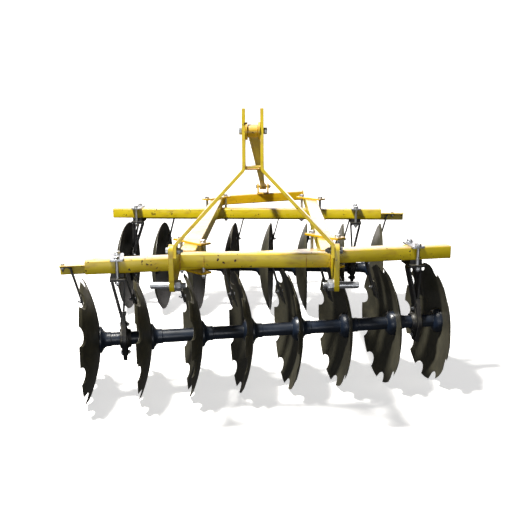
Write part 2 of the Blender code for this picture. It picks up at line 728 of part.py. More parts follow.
def scraper_bar(name, facing, back, end, foot_places):
    """An angle bar behind the beam, with an arm and a blade standing in each disc's hollow side."""
    wide, thick = SCRAPER_ANGLE, SCRAPER_ANGLE_THICK
    top = SCRAPER_BAR_TOP
    face = back + SCRAPER_BAR_FACE
    length = SCRAPER_BAR_LENGTH
    outer_hub = hub_place(0 if facing > 0 else DISCS_PER_GANG - 1, facing)
    low_z = AXLE_Z + SCRAPER_LOW
    arm_top = top - thick - SCRAPER_ARM_THICK / 2
    arm_stand = SCRAPER_STAND + (arm_top - low_z) * SCRAPER_SLOPE
    middle = outer_hub - facing * (arm_stand + end - length / 2)
    bar = box(name, (length, wide, thick), (middle, face + wide / 2, top - thick / 2))
    web = box(name + "_web", (length, thick, wide),
              (middle, face + wide - thick / 2, top - wide / 2))
    parts = [web]
    foot_low = BEAM_BOTTOM - HANGER_SPACER
    foot_high = top - thick / 3
    for foot_x in foot_places:
        foot_front = back + HANGER_BOLT_REACH + BOLT_RADIUS + GAP
        foot_back = face + wide / 2
        parts.append(box(name + "_foot", (SCRAPER_FOOT, foot_back - foot_front, foot_high - foot_low),
                         (foot_x, (foot_front + foot_back) / 2, (foot_low + foot_high) / 2)))
    arm_y = face + wide / 2

    def slanted(label, hub, z_from, z_to, width, thick_):
        outline = []
        for z, sign in ((z_to, -1), (z_to, 1), (z_from, 1), (z_from, -1)):
            off = SCRAPER_STAND + (z - low_z) * SCRAPER_SLOPE
            outline.append((hub - facing * off + sign * thick_ / 2, z))
        return prism(label, outline, "Y", arm_y, width)

    for index in range(DISCS_PER_GANG):
        hub = hub_place(index, facing)
        blade_top = low_z + SCRAPER_BLADE_HEIGHT
        parts.append(slanted(name + "_blade", hub, low_z, blade_top, SCRAPER_BLADE_WIDTH, SCRAPER_ARM_THICK))
        parts.append(slanted(name + "_arm", hub, low_z + SCRAPER_BLADE_HEIGHT / 3, arm_top, SCRAPER_ARM_WIDTH,
                             SCRAPER_ARM_THICK * 1.5))
        tab_x = hub - facing * (arm_stand + SCRAPER_TAB / 2 - 0.004)
        parts.append(box(name + "_tab", (SCRAPER_TAB, SCRAPER_ARM_WIDTH, SCRAPER_ARM_THICK * 1.2),
                         (tab_x, arm_y, arm_top)))
    combine(bar, parts)
    finish(bar, "yellow")


def gang(name, place, yaw, facing, notched, beam):
    """Beam, hangers, scrapers and the turning axle with its discs, at an angle across the frame."""
    before = set(bpy.data.objects)
    length, shift, back = beam
    gang_beam(name + "_gang_beam", length, shift, back)
    feet = []
    for side, sign in (("left", -1), ("right", 1)):
        eye, high = HANGERS[name][side]
        hanger(name + "_" + side + "_hanger", eye, high, back, -sign, facing)
        feet.append(high - facing * (HANGER_BRACE / 2 + SCRAPER_FOOT_ASIDE))
    scraper_bar(name + "_scraper_bar", facing, back, SCRAPER_BAR_END[name], feet)
    hang_all(before, empty(name + "_gang_place", ROOT, (*place, 0), yaw))

    before = set(bpy.data.objects)
    gang_axle(name + "_gang_axle", facing)
    for index in range(DISCS_PER_GANG):
        turn = NOTCH_TURN + (math.pi / 2 if index + 1 in QUARTER_TURNED else 0)
        disc(f"{name}_disc_{index + 1}", hub_place(index, facing), facing, notched, turn)
    hang_all(before, empty(name + "_gang_spin", ROOT, (*place, AXLE_Z), yaw))


def settle():
    """Moves the whole so that the middle of its box is over the origin and it stands on Z = 0."""
    bpy.context.view_layer.update()
    graph = bpy.context.evaluated_depsgraph_get()
    low, high = Vector((1e9, 1e9, 1e9)), Vector((-1e9, -1e9, -1e9))
    for obj in HARROW.objects:
        if obj.type != "MESH":
            continue
        shaped = obj.evaluated_get(graph)
        for vert in shaped.data.vertices:
            point = shaped.matrix_world @ vert.co
            low = Vector(map(min, low, point))
            high = Vector(map(max, high, point))
    ROOT.location = (-(low.x + high.x) / 2, -(low.y + high.y) / 2, -low.z)
    print("root", tuple(ROOT.location), "size", tuple(high - low))


def main():
    before = set(bpy.data.objects)
    rails()
    front_crossbar()
    rear_crossbar()
    hitch_plates()
    lower_pins()
    mast_legs()
    foot_bolts()
    mast_fittings()
    stay()
    hang_all(before, ROOT)
    frame_clamps()
    front_beam = (FRONT_BEAM_LENGTH, FRONT_BEAM_SHIFT, FRONT_BEAM_BACK)
    rear_beam = (REAR_BEAM_LENGTH, REAR_BEAM_SHIFT, REAR_BEAM_BACK)
    gang("front", FRONT_PLACE, FRONT_YAW, 1, True, front_beam)
    gang("rear", REAR_PLACE, REAR_YAW, -1, False, rear_beam)
    settle()


main()
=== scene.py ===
"""Finish for a mounted offset disc harrow, laid out as a Blender add-on.

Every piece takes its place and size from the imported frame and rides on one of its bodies. Metres, +Z up.
"""

import json
import math
import random

import bmesh
import bpy
from mathutils import Euler, Matrix, Vector


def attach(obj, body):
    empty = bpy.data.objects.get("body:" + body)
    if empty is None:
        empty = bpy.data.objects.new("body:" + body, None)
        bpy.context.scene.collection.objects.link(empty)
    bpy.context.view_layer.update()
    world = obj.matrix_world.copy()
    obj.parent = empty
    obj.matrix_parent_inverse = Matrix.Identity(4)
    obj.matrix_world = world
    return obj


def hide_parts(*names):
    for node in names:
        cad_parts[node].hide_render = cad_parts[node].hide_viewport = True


bl_info = {
    "name": "Disc Harrow Finish",
    "version": (1, 0, 0),
    "blender": (4, 5, 0),
    "location": "View3D > Sidebar > Harrow",
    "description": "Builds the tubes, mast, gangs, discs and paint of a disc harrow round its frame",
    "category": "Add Mesh",
}

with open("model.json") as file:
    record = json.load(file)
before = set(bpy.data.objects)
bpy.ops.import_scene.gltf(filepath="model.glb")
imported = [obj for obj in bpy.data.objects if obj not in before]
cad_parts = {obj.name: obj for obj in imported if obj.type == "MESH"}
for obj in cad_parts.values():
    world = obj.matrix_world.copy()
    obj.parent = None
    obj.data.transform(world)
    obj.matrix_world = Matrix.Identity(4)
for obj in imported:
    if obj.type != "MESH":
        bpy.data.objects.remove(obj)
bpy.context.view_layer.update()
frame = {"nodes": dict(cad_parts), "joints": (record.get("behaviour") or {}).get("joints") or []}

WORLD = Matrix.Identity(4)
SIDES = ("left", "right")
DISCS = 8
CREASE = math.radians(38)  # edges sharper than this are kept sharp or rounded off
GAP = 0.0003  # between pieces that touch

BOLT = 0.008
NUT = 0.0135
PIN = 0.014
MAST_BAR = 0.013
MAST_WIDTH = 0.060
CLAMP_THICK = 0.010
CLAMP_BOLT_ASIDE = 0.078
HANGER_JOIN = 0.100  # above the axle, where strip and brace meet the eye plate
HANGER_BRACE = 0.058  # from the strip's top to the brace's
HANGER_HEAD = 0.031  # from the head plate's underside to the beam
HANGER_BOLT_ASIDE = 0.056
HANGER_PLATE = 0.009
HANGER_BOLT = 0.0078
HANGER_NUT = 0.0138
STUD = 0.0055
STUD_NUT = 0.010
EAR_REACH = 0.066
SPOOL = 0.0305
BELL = 0.060
SCRAPER_ANGLE = 0.050
SCRAPER_ANGLE_THICK = 0.005
SCRAPER_THICK = 0.007
SCRAPER_WIDTH = 0.034
SCRAPER_LOW = 0.100  # the blade's lower edge above the axle
SCRAPER_STAND = 0.058
SCRAPER_SLOPE = 0.27
SCRAPER_BOLT = 0.005
SCRAPER_NUT = 0.009


# ---- places read from the frame -----------------------------------------------------------
def gang_place(gang):
    """The place of a gang: origin in the middle of its axle, X along it."""
    joint = next(j for j in frame["joints"] if j["name"] == gang + "_gang_spin")
    axis = Vector(joint["axis"])
    turn = Matrix.Rotation(math.atan2(axis.y, axis.x), 4, "Z")
    return Matrix.Translation(Vector(joint["pos_m"])) @ turn


def span(node, place=WORLD):
    """Lowest and highest corner of a CAD node, measured in a place."""
    back = place.inverted()
    points = [back @ vert.co for vert in frame["nodes"][node].data.vertices]
    low = Vector([min(point[axis] for point in points) for axis in range(3)])
    high = Vector([max(point[axis] for point in points) for axis in range(3)])
    return low, high


def middle_of(node, place=WORLD):
    low, high = span(node, place)
    return (low + high) / 2


GANGS = {"front": gang_place("front"), "rear": gang_place("rear")}
FACING = {"front": 1, "rear": -1}  # +1 where the discs' backs look along +X
AXLE_HEIGHT = GANGS["front"].translation.z


# ---- sizes and colours a user would change ------------------------------------------------
def length(label, about, default):
    return bpy.props.FloatProperty(
        name=label, description=about, default=default, min=0.0, precision=4, unit="LENGTH"
    )


def colour(label, about, default):
    return bpy.props.FloatVectorProperty(
        name=label, description=about, default=default, subtype="COLOR", size=3, min=0.0, max=1.0
    )


class HarrowSizes(bpy.types.PropertyGroup):
    """Sizes of the details that the frame leaves to the finish."""

    tube_corner: length("Tube corner", "Corner radius of the square tubes", 0.006)
    plate_edge: length("Plate edge", "Rounding of cut plate and bar edges", 0.0014)
    weld: length("Weld bead", "Radius of the weld beads", 0.0042)
    disc_thick: length("Disc thickness", "Thickness of a disc's sheet", 0.006)
    disc_flat: length("Disc flat", "Radius of a disc's flat middle", 0.062)
    disc_edge: length("Ground edge", "Width of the ground bevel round a disc's rim", 0.016)
    notch: length("Notch radius", "Radius of the round notches of the front discs", 0.044)
    notch_depth: length("Notch depth", "How far a notch reaches in from the rim", 0.036)
    strip: length("Hanger strip", "Thickness of the hangers' bent strips", 0.0095)
    pitch: length("Thread pitch", "Pitch of the visible threads", 0.0020)


class HarrowColours(bpy.types.PropertyGroup):
    """Colours of the harrow's finishes."""

    yellow: colour("Yellow paint", "Gloss paint of the frame", (0.72, 0.56, 0.006))
    orange: colour("Yellow paint, thick", "Deeper paint of the clamps and plates", (0.74, 0.47, 0.008))
    primer: colour("Worn edge", "Rusty brown that shows where yellow paint has gone", (0.30, 0.11, 0.018))
    # painted highlight: a pale colour laid on paint that looks up, standing in for the bright light on top
    # faces
    painted_top_highlight: colour("Pale film", "Sun-bleached film on the paint that looks up", (0.42, 0.30, 0.22))
    disc: colour("Disc varnish", "Dark varnish of the discs", (0.052, 0.050, 0.036))
    dust: colour("Dust", "Pale soil dust on discs and axles", (0.26, 0.235, 0.15))
    black: colour("Black paint", "Hangers and scraper arms", (0.012, 0.012, 0.014))
    axle: colour("Axle paint", "Blue-black paint of the spools", (0.010, 0.017, 0.034))
    zinc: colour("Zinc", "Plated bolts and pins", (0.62, 0.64, 0.68))
    floor: colour("Floor", "Studio floor and wall", (0.86, 0.86, 0.86))


def sizes():
    return bpy.context.scene.harrow_sizes


def colours():
    return bpy.context.scene.harrow_colours


# ---- shapes -------------------------------------------------------------------------------
def placed(name, data, place=WORLD):
    """A new object of the scene in its place."""
    obj = bpy.data.objects.new(name, data)
    bpy.context.scene.collection.objects.link(obj)
    obj.matrix_world = place
    return obj


def mesh_of(name, bm):
    mesh = bpy.data.meshes.new(name)
    bm.to_mesh(mesh)
    bm.free()
    return mesh


def block(bm, low, high):
    """A box between two corners."""
    low, high = Vector(low), Vector(high)
    middle, size = (low + high) / 2, high - low
    for vert in bmesh.ops.create_cube(bm, size=1)["verts"]:
        vert.co = Vector([vert.co[axis] * size[axis] for axis in range(3)]) + middle


def along(start, end):
    """A place at start whose X points to end."""
    direction = Vector(end) - Vector(start)
    turn = Vector((1, 0, 0)).rotation_difference(direction).to_matrix().to_4x4()
    return Matrix.Translation(Vector(start)) @ turn


def lathe(bm, profile, place, sides=48, lead=0.0):
    """A turned piece from (along, radius) points, along X of its place."""
    rings = []
    for reach, radius in profile:
        if radius < 1e-6:
            rings.append([bm.verts.new(place @ Vector((reach, 0, 0)))])
            continue
        turns = [lead + 2 * math.pi * step / sides for step in range(sides)]
        rings.append([bm.verts.new(place @ Vector((reach, radius * math.sin(a), radius * math.cos(a))))
                      for a in turns])
    for first, second in zip(rings, rings[1:]):
        for step in range(sides):
            after = (step + 1) % sides
            corners = [first[step % len(first)], first[after % len(first)],
                       second[after % len(second)], second[step % len(second)]]
            corners = list(dict.fromkeys(corners))
            if len(corners) > 2:
                bm.faces.new(corners)


def rod(bm, start, end, radius, sides=32, chamfer=0.001):
    """A round bar with chamfered ends."""
    reach = (Vector(end) - Vector(start)).length
    profile = [(0, 0), (0, radius - chamfer), (chamfer, radius), (reach - chamfer, radius),
               (reach, radius - chamfer), (reach, 0)]
    lathe(bm, profile, along(start, end), sides)


def hexagon(bm, start, end, radius, lead=0.0):
    """A bolt head or nut: six flats with chamfered corners."""
    reach = (Vector(end) - Vector(start)).length
    profile = [(0, 0), (0, radius * 0.90), (reach * 0.12, radius), (reach * 0.86, radius),
               (reach, radius * 0.88), (reach, radius * 0.5),
               (reach - 0.0006, radius * 0.46), (reach - 0.0006, 0)]
    lathe(bm, profile, along(start, end), 6, lead)


def thread(bm, start, end, radius, sides=24):
    """A threaded bar: ridges and grooves one pitch apart."""
    reach = (Vector(end) - Vector(start)).length
    pitch = sizes().pitch
    turns = max(1, int(reach / pitch))
    profile = [(0, 0)]
    for turn in range(turns):
        profile += [(turn * pitch, radius - pitch * 0.35), ((turn + 0.5) * pitch, radius)]
    profile += [(turns * pitch, radius - pitch * 0.4), (reach, radius - pitch * 0.6), (reach, 0)]
    lathe(bm, profile, along(start, end), sides)


def washer(bm, start, end, radius):
    rod(bm, start, end, radius, 32, 0.0004)


def prism(bm, outline, axis, low, high):
    """A flat outline in the other two axes, drawn out along one axis."""
    def corner(point, reach):
        first, second = point
        return {"X": (reach, first, second), "Y": (first, reach, second), "Z": (first, second, reach)}[axis]

    near = [bm.verts.new(corner(point, low)) for point in outline]
    far = [bm.verts.new(corner(point, high)) for point in outline]
    bm.faces.new(near)
    bm.faces.new(far[::-1])
    for step in range(len(outline)):
        after = (step + 1) % len(outline)
        bm.faces.new((near[step], near[after], far[after], far[step]))


def arc(middle, radius, start, end, steps):
    """Points on an arc between two angles in degrees."""
    angles = [math.radians(start + (end - start) * step / steps) for step in range(steps + 1)]
    return [(middle[0] + radius * math.cos(a), middle[1] + radius * math.sin(a)) for a in angles]


def rounded(low, high, radius, steps=4):
    """A rectangle's outline with round corners."""
    (x0, y0), (x1, y1) = low, high
    corners = (((x1 - radius, y1 - radius), 0), ((x0 + radius, y1 - radius), 90),
               ((x0 + radius, y0 + radius), 180), ((x1 - radius, y0 + radius), 270))
    points = []
    for middle, start in corners:
        points += arc(middle, radius, start, start + 90, steps)
    return points


def bent(points, radius, steps=5):
    """A path through points with its corners rounded."""
    path = [Vector(points[0])]
    for before, corner, after in zip(points, points[1:], points[2:]):
        corner = Vector(corner)
        into = (Vector(before) - corner).normalized()
        out = (Vector(after) - corner).normalized()
        half = into.angle(out) / 2
        reach = radius / math.tan(half)
        reach = min(reach, *((Vector(end) - corner).length * 0.49 for end in (before, after)))
        start, end = corner + into * reach, corner + out * reach
        for step in range(steps + 1):
            share = step / steps
            path.append(start * (1 - share) ** 2 + corner * 2 * share * (1 - share) + end * share**2)
    path.append(Vector(points[-1]))
    return path


def strip(points, thick, radius, steps=5):
    """The outline of a flat bar bent on edge along a path of 2D points."""
    path = bent(points, radius, steps)
    left, right = [], []
    for index, point in enumerate(path):
        before = path[max(index - 1, 0)]
        after = path[min(index + 1, len(path) - 1)]
        ahead = (after - before).normalized()
        side = Vector((-ahead.y, ahead.x)) * thick / 2
        left.append(tuple(point + side))
        right.append(tuple(point - side))
    return left + right[::-1]


def bead(bm, points, radius, closed=False, seed=1):
    """A weld bead laid along a path: a rippled half-sunk cord of metal."""
    rng = random.Random(seed)
    ripple = radius * 0.9
    path = []
    stops = list(points) + ([points[0]] if closed else [])
    for start, end in zip(stops, stops[1:]):
        start, end = Vector(start), Vector(end)
        count = max(1, round((end - start).length / (ripple / 2)))
        path += [start.lerp(end, step / count) for step in range(count)]
    if not closed:
        path.append(Vector(stops[-1]))
    rings = []
    for index, point in enumerate(path):
        before = path[index - 1] if closed or index else point
        after = path[(index + 1) % len(path)] if closed or index + 1 < len(path) else point
        ahead = (after - before).normalized()
        side = ahead.orthogonal().normalized()
        other = ahead.cross(side)
        swell = radius * (0.86 + 0.14 * (index % 2) + rng.uniform(-0.08, 0.08))
        if not closed and index in (0, len(path) - 1):
            swell *= 0.4
        ring = []
        for step in range(8):
            a = 2 * math.pi * step / 8
            ring.append(bm.verts.new(point + (side * math.cos(a) + other * math.sin(a)) * swell))
        rings.append(ring)
    pairs = list(zip(rings, rings[1:])) + ([(rings[-1], rings[0])] if closed else [])
    for first, second in pairs:
        shift = min(range(8), key=lambda s: (first[0].co - second[s].co).length)
        for step in range(8):
            bm.faces.new((first[step], first[(step + 1) % 8],
                          second[(step + 1 + shift) % 8], second[(step + shift) % 8]))
    if not closed:
        bm.faces.new(rings[0])
        bm.faces.new(rings[-1])


def bolt_set(bm, top, bottom, radius, nut, washers=True, tail=0.008):
    """A bolt from its head's seat to its nut's seat: head, washers, shank, nut and thread end."""
    top, bottom = Vector(top), Vector(bottom)
    down = (bottom - top).normalized()
    thin = 0.0025 if washers else 0.0
    if washers:
        washer(bm, top, top - down * thin, nut * 1.12)
        washer(bm, bottom, bottom + down * thin, nut * 1.12)
    hexagon(bm, top - down * thin, top - down * (thin + radius * 1.25), nut, 0.4)
    hexagon(bm, bottom + down * thin, bottom + down * (thin + radius * 1.4), nut, 0.9)
    rod(bm, top, bottom + down * 0.001, radius * 0.96, 24, 0.0002)
    thread(bm, bottom, bottom + down * (thin + radius * 1.4 + tail), radius * 0.94)


# ---- pieces -------------------------------------------------------------------------------
def piece(name, bm, paint, body, place=WORLD, nodes=(), edge=0.0, rounds=2):
    """Makes a shown piece from a mesh in its place, riding on a body."""
    bmesh.ops.recalc_face_normals(bm, faces=bm.faces)
    for face in bm.faces:
        face.smooth = True
    if not edge:
        for side in bm.edges:
            if len(side.link_faces) == 2 and side.calc_face_angle(0) > CREASE:
                side.smooth = False
    mesh = mesh_of(name, bm)
    mesh.materials.append(paint)
    obj = placed(name, mesh, place)
    if edge:
        rounding = obj.modifiers.new("edges", "BEVEL")
        rounding.width = edge
        rounding.segments = rounds
        rounding.limit_method = "ANGLE"
        rounding.angle_limit = CREASE
        rounding.harden_normals = True
    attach(obj, body)
    if nodes:
        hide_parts(*nodes)
    return obj


def drill(obj, start, end, radius, sides=24):
    """Cuts a round hole right through a piece, in the piece's own place."""
    bm = bmesh.new()
    rod(bm, start, end, radius, sides)
    bmesh.ops.recalc_face_normals(bm, faces=bm.faces)
    cutter = placed("drill", mesh_of("drill", bm), obj.matrix_world)
    step = obj.modifiers.new("hole", "BOOLEAN")
    step.operation = "DIFFERENCE"
    step.solver = "EXACT"
    step.object = cutter
    bpy.context.view_layer.update()
    cut = bpy.data.meshes.new_from_object(obj.evaluated_get(bpy.context.evaluated_depsgraph_get()))
    obj.modifiers.clear()
    obj.data = cut
    bpy.data.objects.remove(cutter)


# ---- finishes -----------------------------------------------------------------------------
class Finish:
    """A node material under construction."""

    def __init__(self, name):
        self.material = bpy.data.materials.new(name)
        self.material.use_nodes = True
        self.tree = self.material.node_tree
        self.shader = self.tree.nodes["Principled BSDF"]
        self.place = self.node("TexCoord").outputs["Object"]

    def node(self, kind, **values):
        """A new node, with sockets set by their names: From_Min stands for From Min."""
        made = self.tree.nodes.new("ShaderNode" + kind)
        for name, value in values.items():
            made.inputs[name.replace("_", " ")].default_value = value
        return made

    def link(self, source, target):
        self.tree.links.new(source, target)
        return self

    def set(self, **values):
        """Uniform values go on the shader's own sockets."""
        for name, value in values.items():
            self.shader.inputs[name.replace("_", " ")].default_value = value
        return self

    def noise(self, scale, detail=4.0, stretch=None):
        """Noise from 0 to 1 in the piece's own place."""
        made = self.node("TexNoise", Scale=scale, Detail=detail)
        source = self.place
        if stretch:
            mapping = self.node("Mapping", Scale=stretch)
            self.link(source, mapping.inputs["Vector"])
            source = mapping.outputs["Vector"]
        self.link(source, made.inputs["Vector"])
        return made.outputs["Fac"]

    def math(self, operation, first, second=0.0):
        made = self.node("Math")
        made.operation = operation
        made.use_clamp = True
        for socket, value in zip(made.inputs, (first, second)):
            if isinstance(value, (int, float)):
                socket.default_value = value
            else:
                self.link(value, socket)
        return made.outputs[0]

    def times(self, first, second):
        return self.math("MULTIPLY", first, second)

    def most(self, first, second):
        return self.math("MAXIMUM", first, second)

    def patches(self, scale, detail, low, high, stretch=None):
        """Noise hardened into patches."""
        return self.ramp(self.noise(scale, detail, stretch), low, high)

    def ramp(self, source, low, high):
        """0 below low, 1 above high."""
        made = self.node("MapRange", From_Min=low, From_Max=high)
        self.link(source, made.inputs["Value"])
        return made.outputs["Result"]

    def mix(self, share, first, second):
        """A colour between two colours or sockets."""
        made = self.node("Mix")
        made.data_type = "RGBA"
        self.link(share, made.inputs["Factor"])
        for socket, value in ((made.inputs["A"], first), (made.inputs["B"], second)):
            if isinstance(value, (tuple, Vector)):
                socket.default_value = (*value, 1.0)
            else:
                self.link(value, socket)
        return made.outputs["Result"]

    def edges(self, radius):
        """1 on outer edges, from how far a rounded normal leans off the true one."""
        rounded_off = self.node("Bevel", Radius=radius)
        rounded_off.samples = 4
        true = self.node("NewGeometry")
        dot = self.node("VectorMath")
        dot.operation = "DOT_PRODUCT"
        self.link(rounded_off.outputs["Normal"], dot.inputs[0])
        self.link(true.outputs["True Normal"], dot.inputs[1])
        return self.ramp(dot.outputs["Value"], 0.995, 0.85)

    def up(self):
        """1 where the surface looks up, 0 where it is upright or looks down."""
        true = self.node("NewGeometry")
        split = self.node("SeparateXYZ")
        self.link(true.outputs["Normal"], split.inputs[0])
        return self.ramp(split.outputs["Z"], 0.0, 0.9)

    def bump(self, source, depth):
        made = self.node("Bump", Distance=depth, Strength=1.0)
        self.link(source, made.inputs["Height"])
        self.link(made.outputs["Normal"], self.shader.inputs["Normal"])
        return self

    def base(self, source):
        return self.link(source, self.shader.inputs["Base Color"])

    def roughness(self, share, low, high):
        made = self.node("MapRange", To_Min=low, To_Max=high)
        self.link(share, made.inputs["Value"])
        return self.link(made.outputs["Result"], self.shader.inputs["Roughness"])


def dimmed(paint, share):
    return tuple(value * share for value in paint)


def gloss_paint(name, paint, worn, highlight_tint, chips=0.66):
    """Gloss enamel with cloudy colour, a pale painted highlight on top, specks, chips and worn edges."""
    finish = Finish(name)
    cloud = finish.noise(5.0, 5.0)
    tone = finish.mix(finish.ramp(cloud, 0.35, 0.68), dimmed(paint, 0.80), paint)
    grime = finish.times(finish.patches(16.0, 8.0, 0.52, 0.74, (1, 1, 3)), 0.45)
    tone = finish.mix(grime, tone, dimmed(worn, 0.9))
    # painted highlight: faces that look up are mixed in patches towards a pale colour, standing in for the
    # bright light on top faces
    painted_top_highlight = finish.times(finish.up(), finish.patches(14.0, 6.0, 0.20, 0.62))
    tone = finish.mix(finish.times(painted_top_highlight, 0.85), tone, highlight_tint)
    edge = finish.edges(0.004)
    broken = finish.patches(38.0, 5.0, 0.40, 0.52)
    wear = finish.times(edge, broken)
    tone = finish.mix(wear, tone, worn)
    spots = finish.patches(52.0, 2.0, chips, chips + 0.02)
    spread = finish.patches(6.5, 2.0, 0.50, 0.58)
    chip = finish.times(spots, spread)
    tone = finish.mix(chip, tone, dimmed(worn, 0.12))
    finish.base(tone)
    gone = finish.most(chip, wear)
    finish.roughness(finish.most(gone, finish.times(cloud, 0.5)), 0.20, 0.62)
    skin = finish.noise(260.0, 2.0)
    relief = finish.math("SUBTRACT", finish.times(skin, 0.35), finish.times(gone, 0.6))
    finish.bump(relief, 0.0007)
    finish.set(Coat_Weight=0.15, Coat_Roughness=0.10, Specular_IOR_Level=0.4)
    return finish.material


def dark_paint(name, paint, dust, dusty=0.35, rough=0.34):
    """Dark semi-gloss paint with dust on what looks up and bare bright edges."""
    finish = Finish(name)
    cloud = finish.noise(9.0, 6.0)
    tone = finish.mix(finish.ramp(cloud, 0.3, 0.7), dimmed(paint, 0.7), dimmed(paint, 1.3))
    lying = finish.times(finish.up(), finish.patches(24.0, 6.0, 0.35, 0.75))
    lying = finish.times(lying, dusty)
    tone = finish.mix(lying, tone, dust)
    edge = finish.times(finish.edges(0.003), finish.patches(60.0, 4.0, 0.50, 0.62))
    tone = finish.mix(finish.times(edge, 0.6), tone, dimmed(dust, 0.9))
    finish.base(tone)
    finish.roughness(finish.most(lying, finish.times(cloud, 0.6)), rough, rough + 0.4)
    finish.bump(finish.noise(180.0, 4.0), 0.0006)
    finish.set(Specular_IOR_Level=0.55)
    return finish.material


def disc_varnish(paint, dust):
    """Dark varnish over rolled steel: faint turning rings, soil dust, scuffs and a ground bright rim."""
    finish = Finish("disc varnish")
    cloud = finish.noise(7.0, 6.0)
    tone = finish.mix(finish.ramp(cloud, 0.30, 0.72), dimmed(paint, 0.75), dimmed(paint, 1.25))
    soil = finish.times(finish.patches(30.0, 8.0, 0.40, 0.78), 0.42)
    tone = finish.mix(soil, tone, dust)
    specks = finish.patches(140.0, 2.0, 0.66, 0.70)
    tone = finish.mix(finish.times(specks, 0.5), tone, dimmed(dust, 1.1))
    edge = finish.times(finish.edges(0.004), finish.patches(45.0, 4.0, 0.42, 0.60))
    tone = finish.mix(finish.times(edge, 0.7), tone, dimmed(dust, 1.2))
    finish.base(tone)
    finish.roughness(finish.most(soil, finish.times(cloud, 0.5)), 0.30, 0.66)
    finish.bump(finish.math("ADD", finish.times(finish.noise(90.0, 6.0), 0.6),
                            finish.times(finish.noise(12.0, 2.0), 0.4)), 0.0009)
    finish.set(Specular_IOR_Level=0.5)
    return finish.material


def plated(name, metal, stain):
    """Zinc plate: bright metal, dull patches and a trace of dirt in the corners."""
    finish = Finish(name)
    cloud = finish.noise(40.0, 5.0)
    tone = finish.mix(finish.ramp(cloud, 0.35, 0.70), dimmed(metal, 0.72), metal)
    dirt = finish.times(finish.patches(110.0, 4.0, 0.60, 0.72), 0.55)
    tone = finish.mix(dirt, tone, stain)
    finish.base(tone)
    finish.roughness(finish.most(cloud, dirt), 0.22, 0.55)
    finish.bump(finish.noise(300.0, 3.0), 0.0003)
    finish.set(Metallic=0.85)
    return finish.material


def pale_floor(paint):
    """Matt floor and wall with the faintest unevenness."""
    finish = Finish("pale floor")
    finish.base(finish.mix(finish.noise(0.8, 2.0), dimmed(paint, 0.99), paint))
    finish.set(Roughness=0.9, Specular_IOR_Level=0.1, Emission_Color=(1, 1, 1, 1), Emission_Strength=0.6)
    return finish.material


FINISHES = {}


def finish_named(name):
    """Each finish is made once, when the first piece asks for it."""
    paints = colours()
    # gloss paints also take the pale colour of the painted highlight on faces that look up
    worn, painted_top_highlight, dust = tuple(paints.primer), tuple(paints.painted_top_highlight), tuple(paints.dust)
    makers = {
        "yellow": lambda: gloss_paint("yellow paint", tuple(paints.yellow), worn, painted_top_highlight),
        "orange": lambda: gloss_paint("thick yellow paint", tuple(paints.orange), worn, painted_top_highlight, 0.70),
        "weld": lambda: gloss_paint("painted weld", dimmed(paints.orange, 0.9), worn, painted_top_highlight, 0.62),
        "black": lambda: dark_paint("black paint", tuple(paints.black), dust, 0.22),
        "axle": lambda: dark_paint("axle paint", tuple(paints.axle), dust, 0.10, 0.22),
        "blade": lambda: dark_paint("scraper steel", (0.035, 0.034, 0.030), dust, 0.5, 0.42),
        "disc": lambda: disc_varnish(tuple(paints.disc), dimmed(dust, 0.45)),
        "zinc": lambda: plated("zinc plate", tuple(paints.zinc), (0.10, 0.08, 0.05)),
        "floor": lambda: pale_floor(tuple(paints.floor)),
    }
    if name not in FINISHES:
        FINISHES[name] = makers[name]()
    return FINISHES[name]


def fixed(name, bm, paint, place=WORLD, nodes=(), edge=0.0, rounds=2):
    """A piece that rides on the frame, in a named finish."""
    return piece(name, bm, finish_named(paint), "frame", place, nodes, edge, rounds)


# ---- frame --------------------------------------------------------------------------------
def square_tube(name, node, axis, place=WORLD):
    """A square tube with round corners and closed ground ends."""
    low, high = span(node, place)
    reach, side = {"X": (0, 1), "Y": (1, 0)}[axis]
    bm = bmesh.new()
    outline = rounded((low[side], low.z), (high[side], high.z), sizes().tube_corner)
    prism(bm, outline, axis, low[reach], high[reach])
    return fixed(name, bm, "yellow", place, [node], 0.0022)


def rear_crossbar():
    """The slanted tube between the rails, mitred to their inner sides."""
    low, high = span("rear_crossbar")
    points = [vert.co for vert in frame["nodes"]["rear_crossbar"].data.vertices]

    def edge_at(x, pick):
        return pick(point.y for point in points if abs(point.x - x) < 0.001)

    outline = [(low.x, edge_at(low.x, min)), (high.x, edge_at(high.x, min)),
               (high.x, edge_at(high.x, max)), (low.x, edge_at(low.x, max))]
    bm = bmesh.new()
    prism(bm, outline, "Z", low.z, high.z)
    corner = sizes().tube_corner
    fixed("rear_crossbar_tube", bm, "orange", nodes=["rear_crossbar"], edge=corner, rounds=4)
    return outline


def frame_welds(rear_outline):
    """Beads where the tubes meet each other and the plates, and the front bar's two splices."""
    bm = bmesh.new()
    radius = sizes().weld
    bar_low, bar_high = span("front_crossbar")
    base, top = bar_low.z, bar_high.z
    for index, side in enumerate(SIDES):
        low, high = span(side + "_rail")
        bead(bm, [(low.x, low.y, low.z), (high.x, low.y, low.z),
                  (high.x, low.y, high.z), (low.x, low.y, high.z)], radius, True, index)
        x = bar_low.x if side == "left" else bar_high.x
        bead(bm, [(x, bar_low.y, base), (x, bar_high.y, base),
                  (x, bar_high.y, top), (x, bar_low.y, top)], radius, True, index + 5)
        (x, y0), (_, y1) = (rear_outline[0], rear_outline[3]) if side == "left" else rear_outline[1:3]
        bead(bm, [(x, y0, base), (x, y1, base), (x, y1, top), (x, y0, top)], radius, True, index + 9)
    for share in (0.16, 0.84):
        x = bar_low.x + (bar_high.x - bar_low.x) * share
        corner = sizes().tube_corner
        seam = [(x, bar_low.y, base + corner), (x, bar_low.y, top - corner)]
        bead(bm, seam, radius * 0.34, False, 3)
    fixed("frame_welds", bm, "weld")


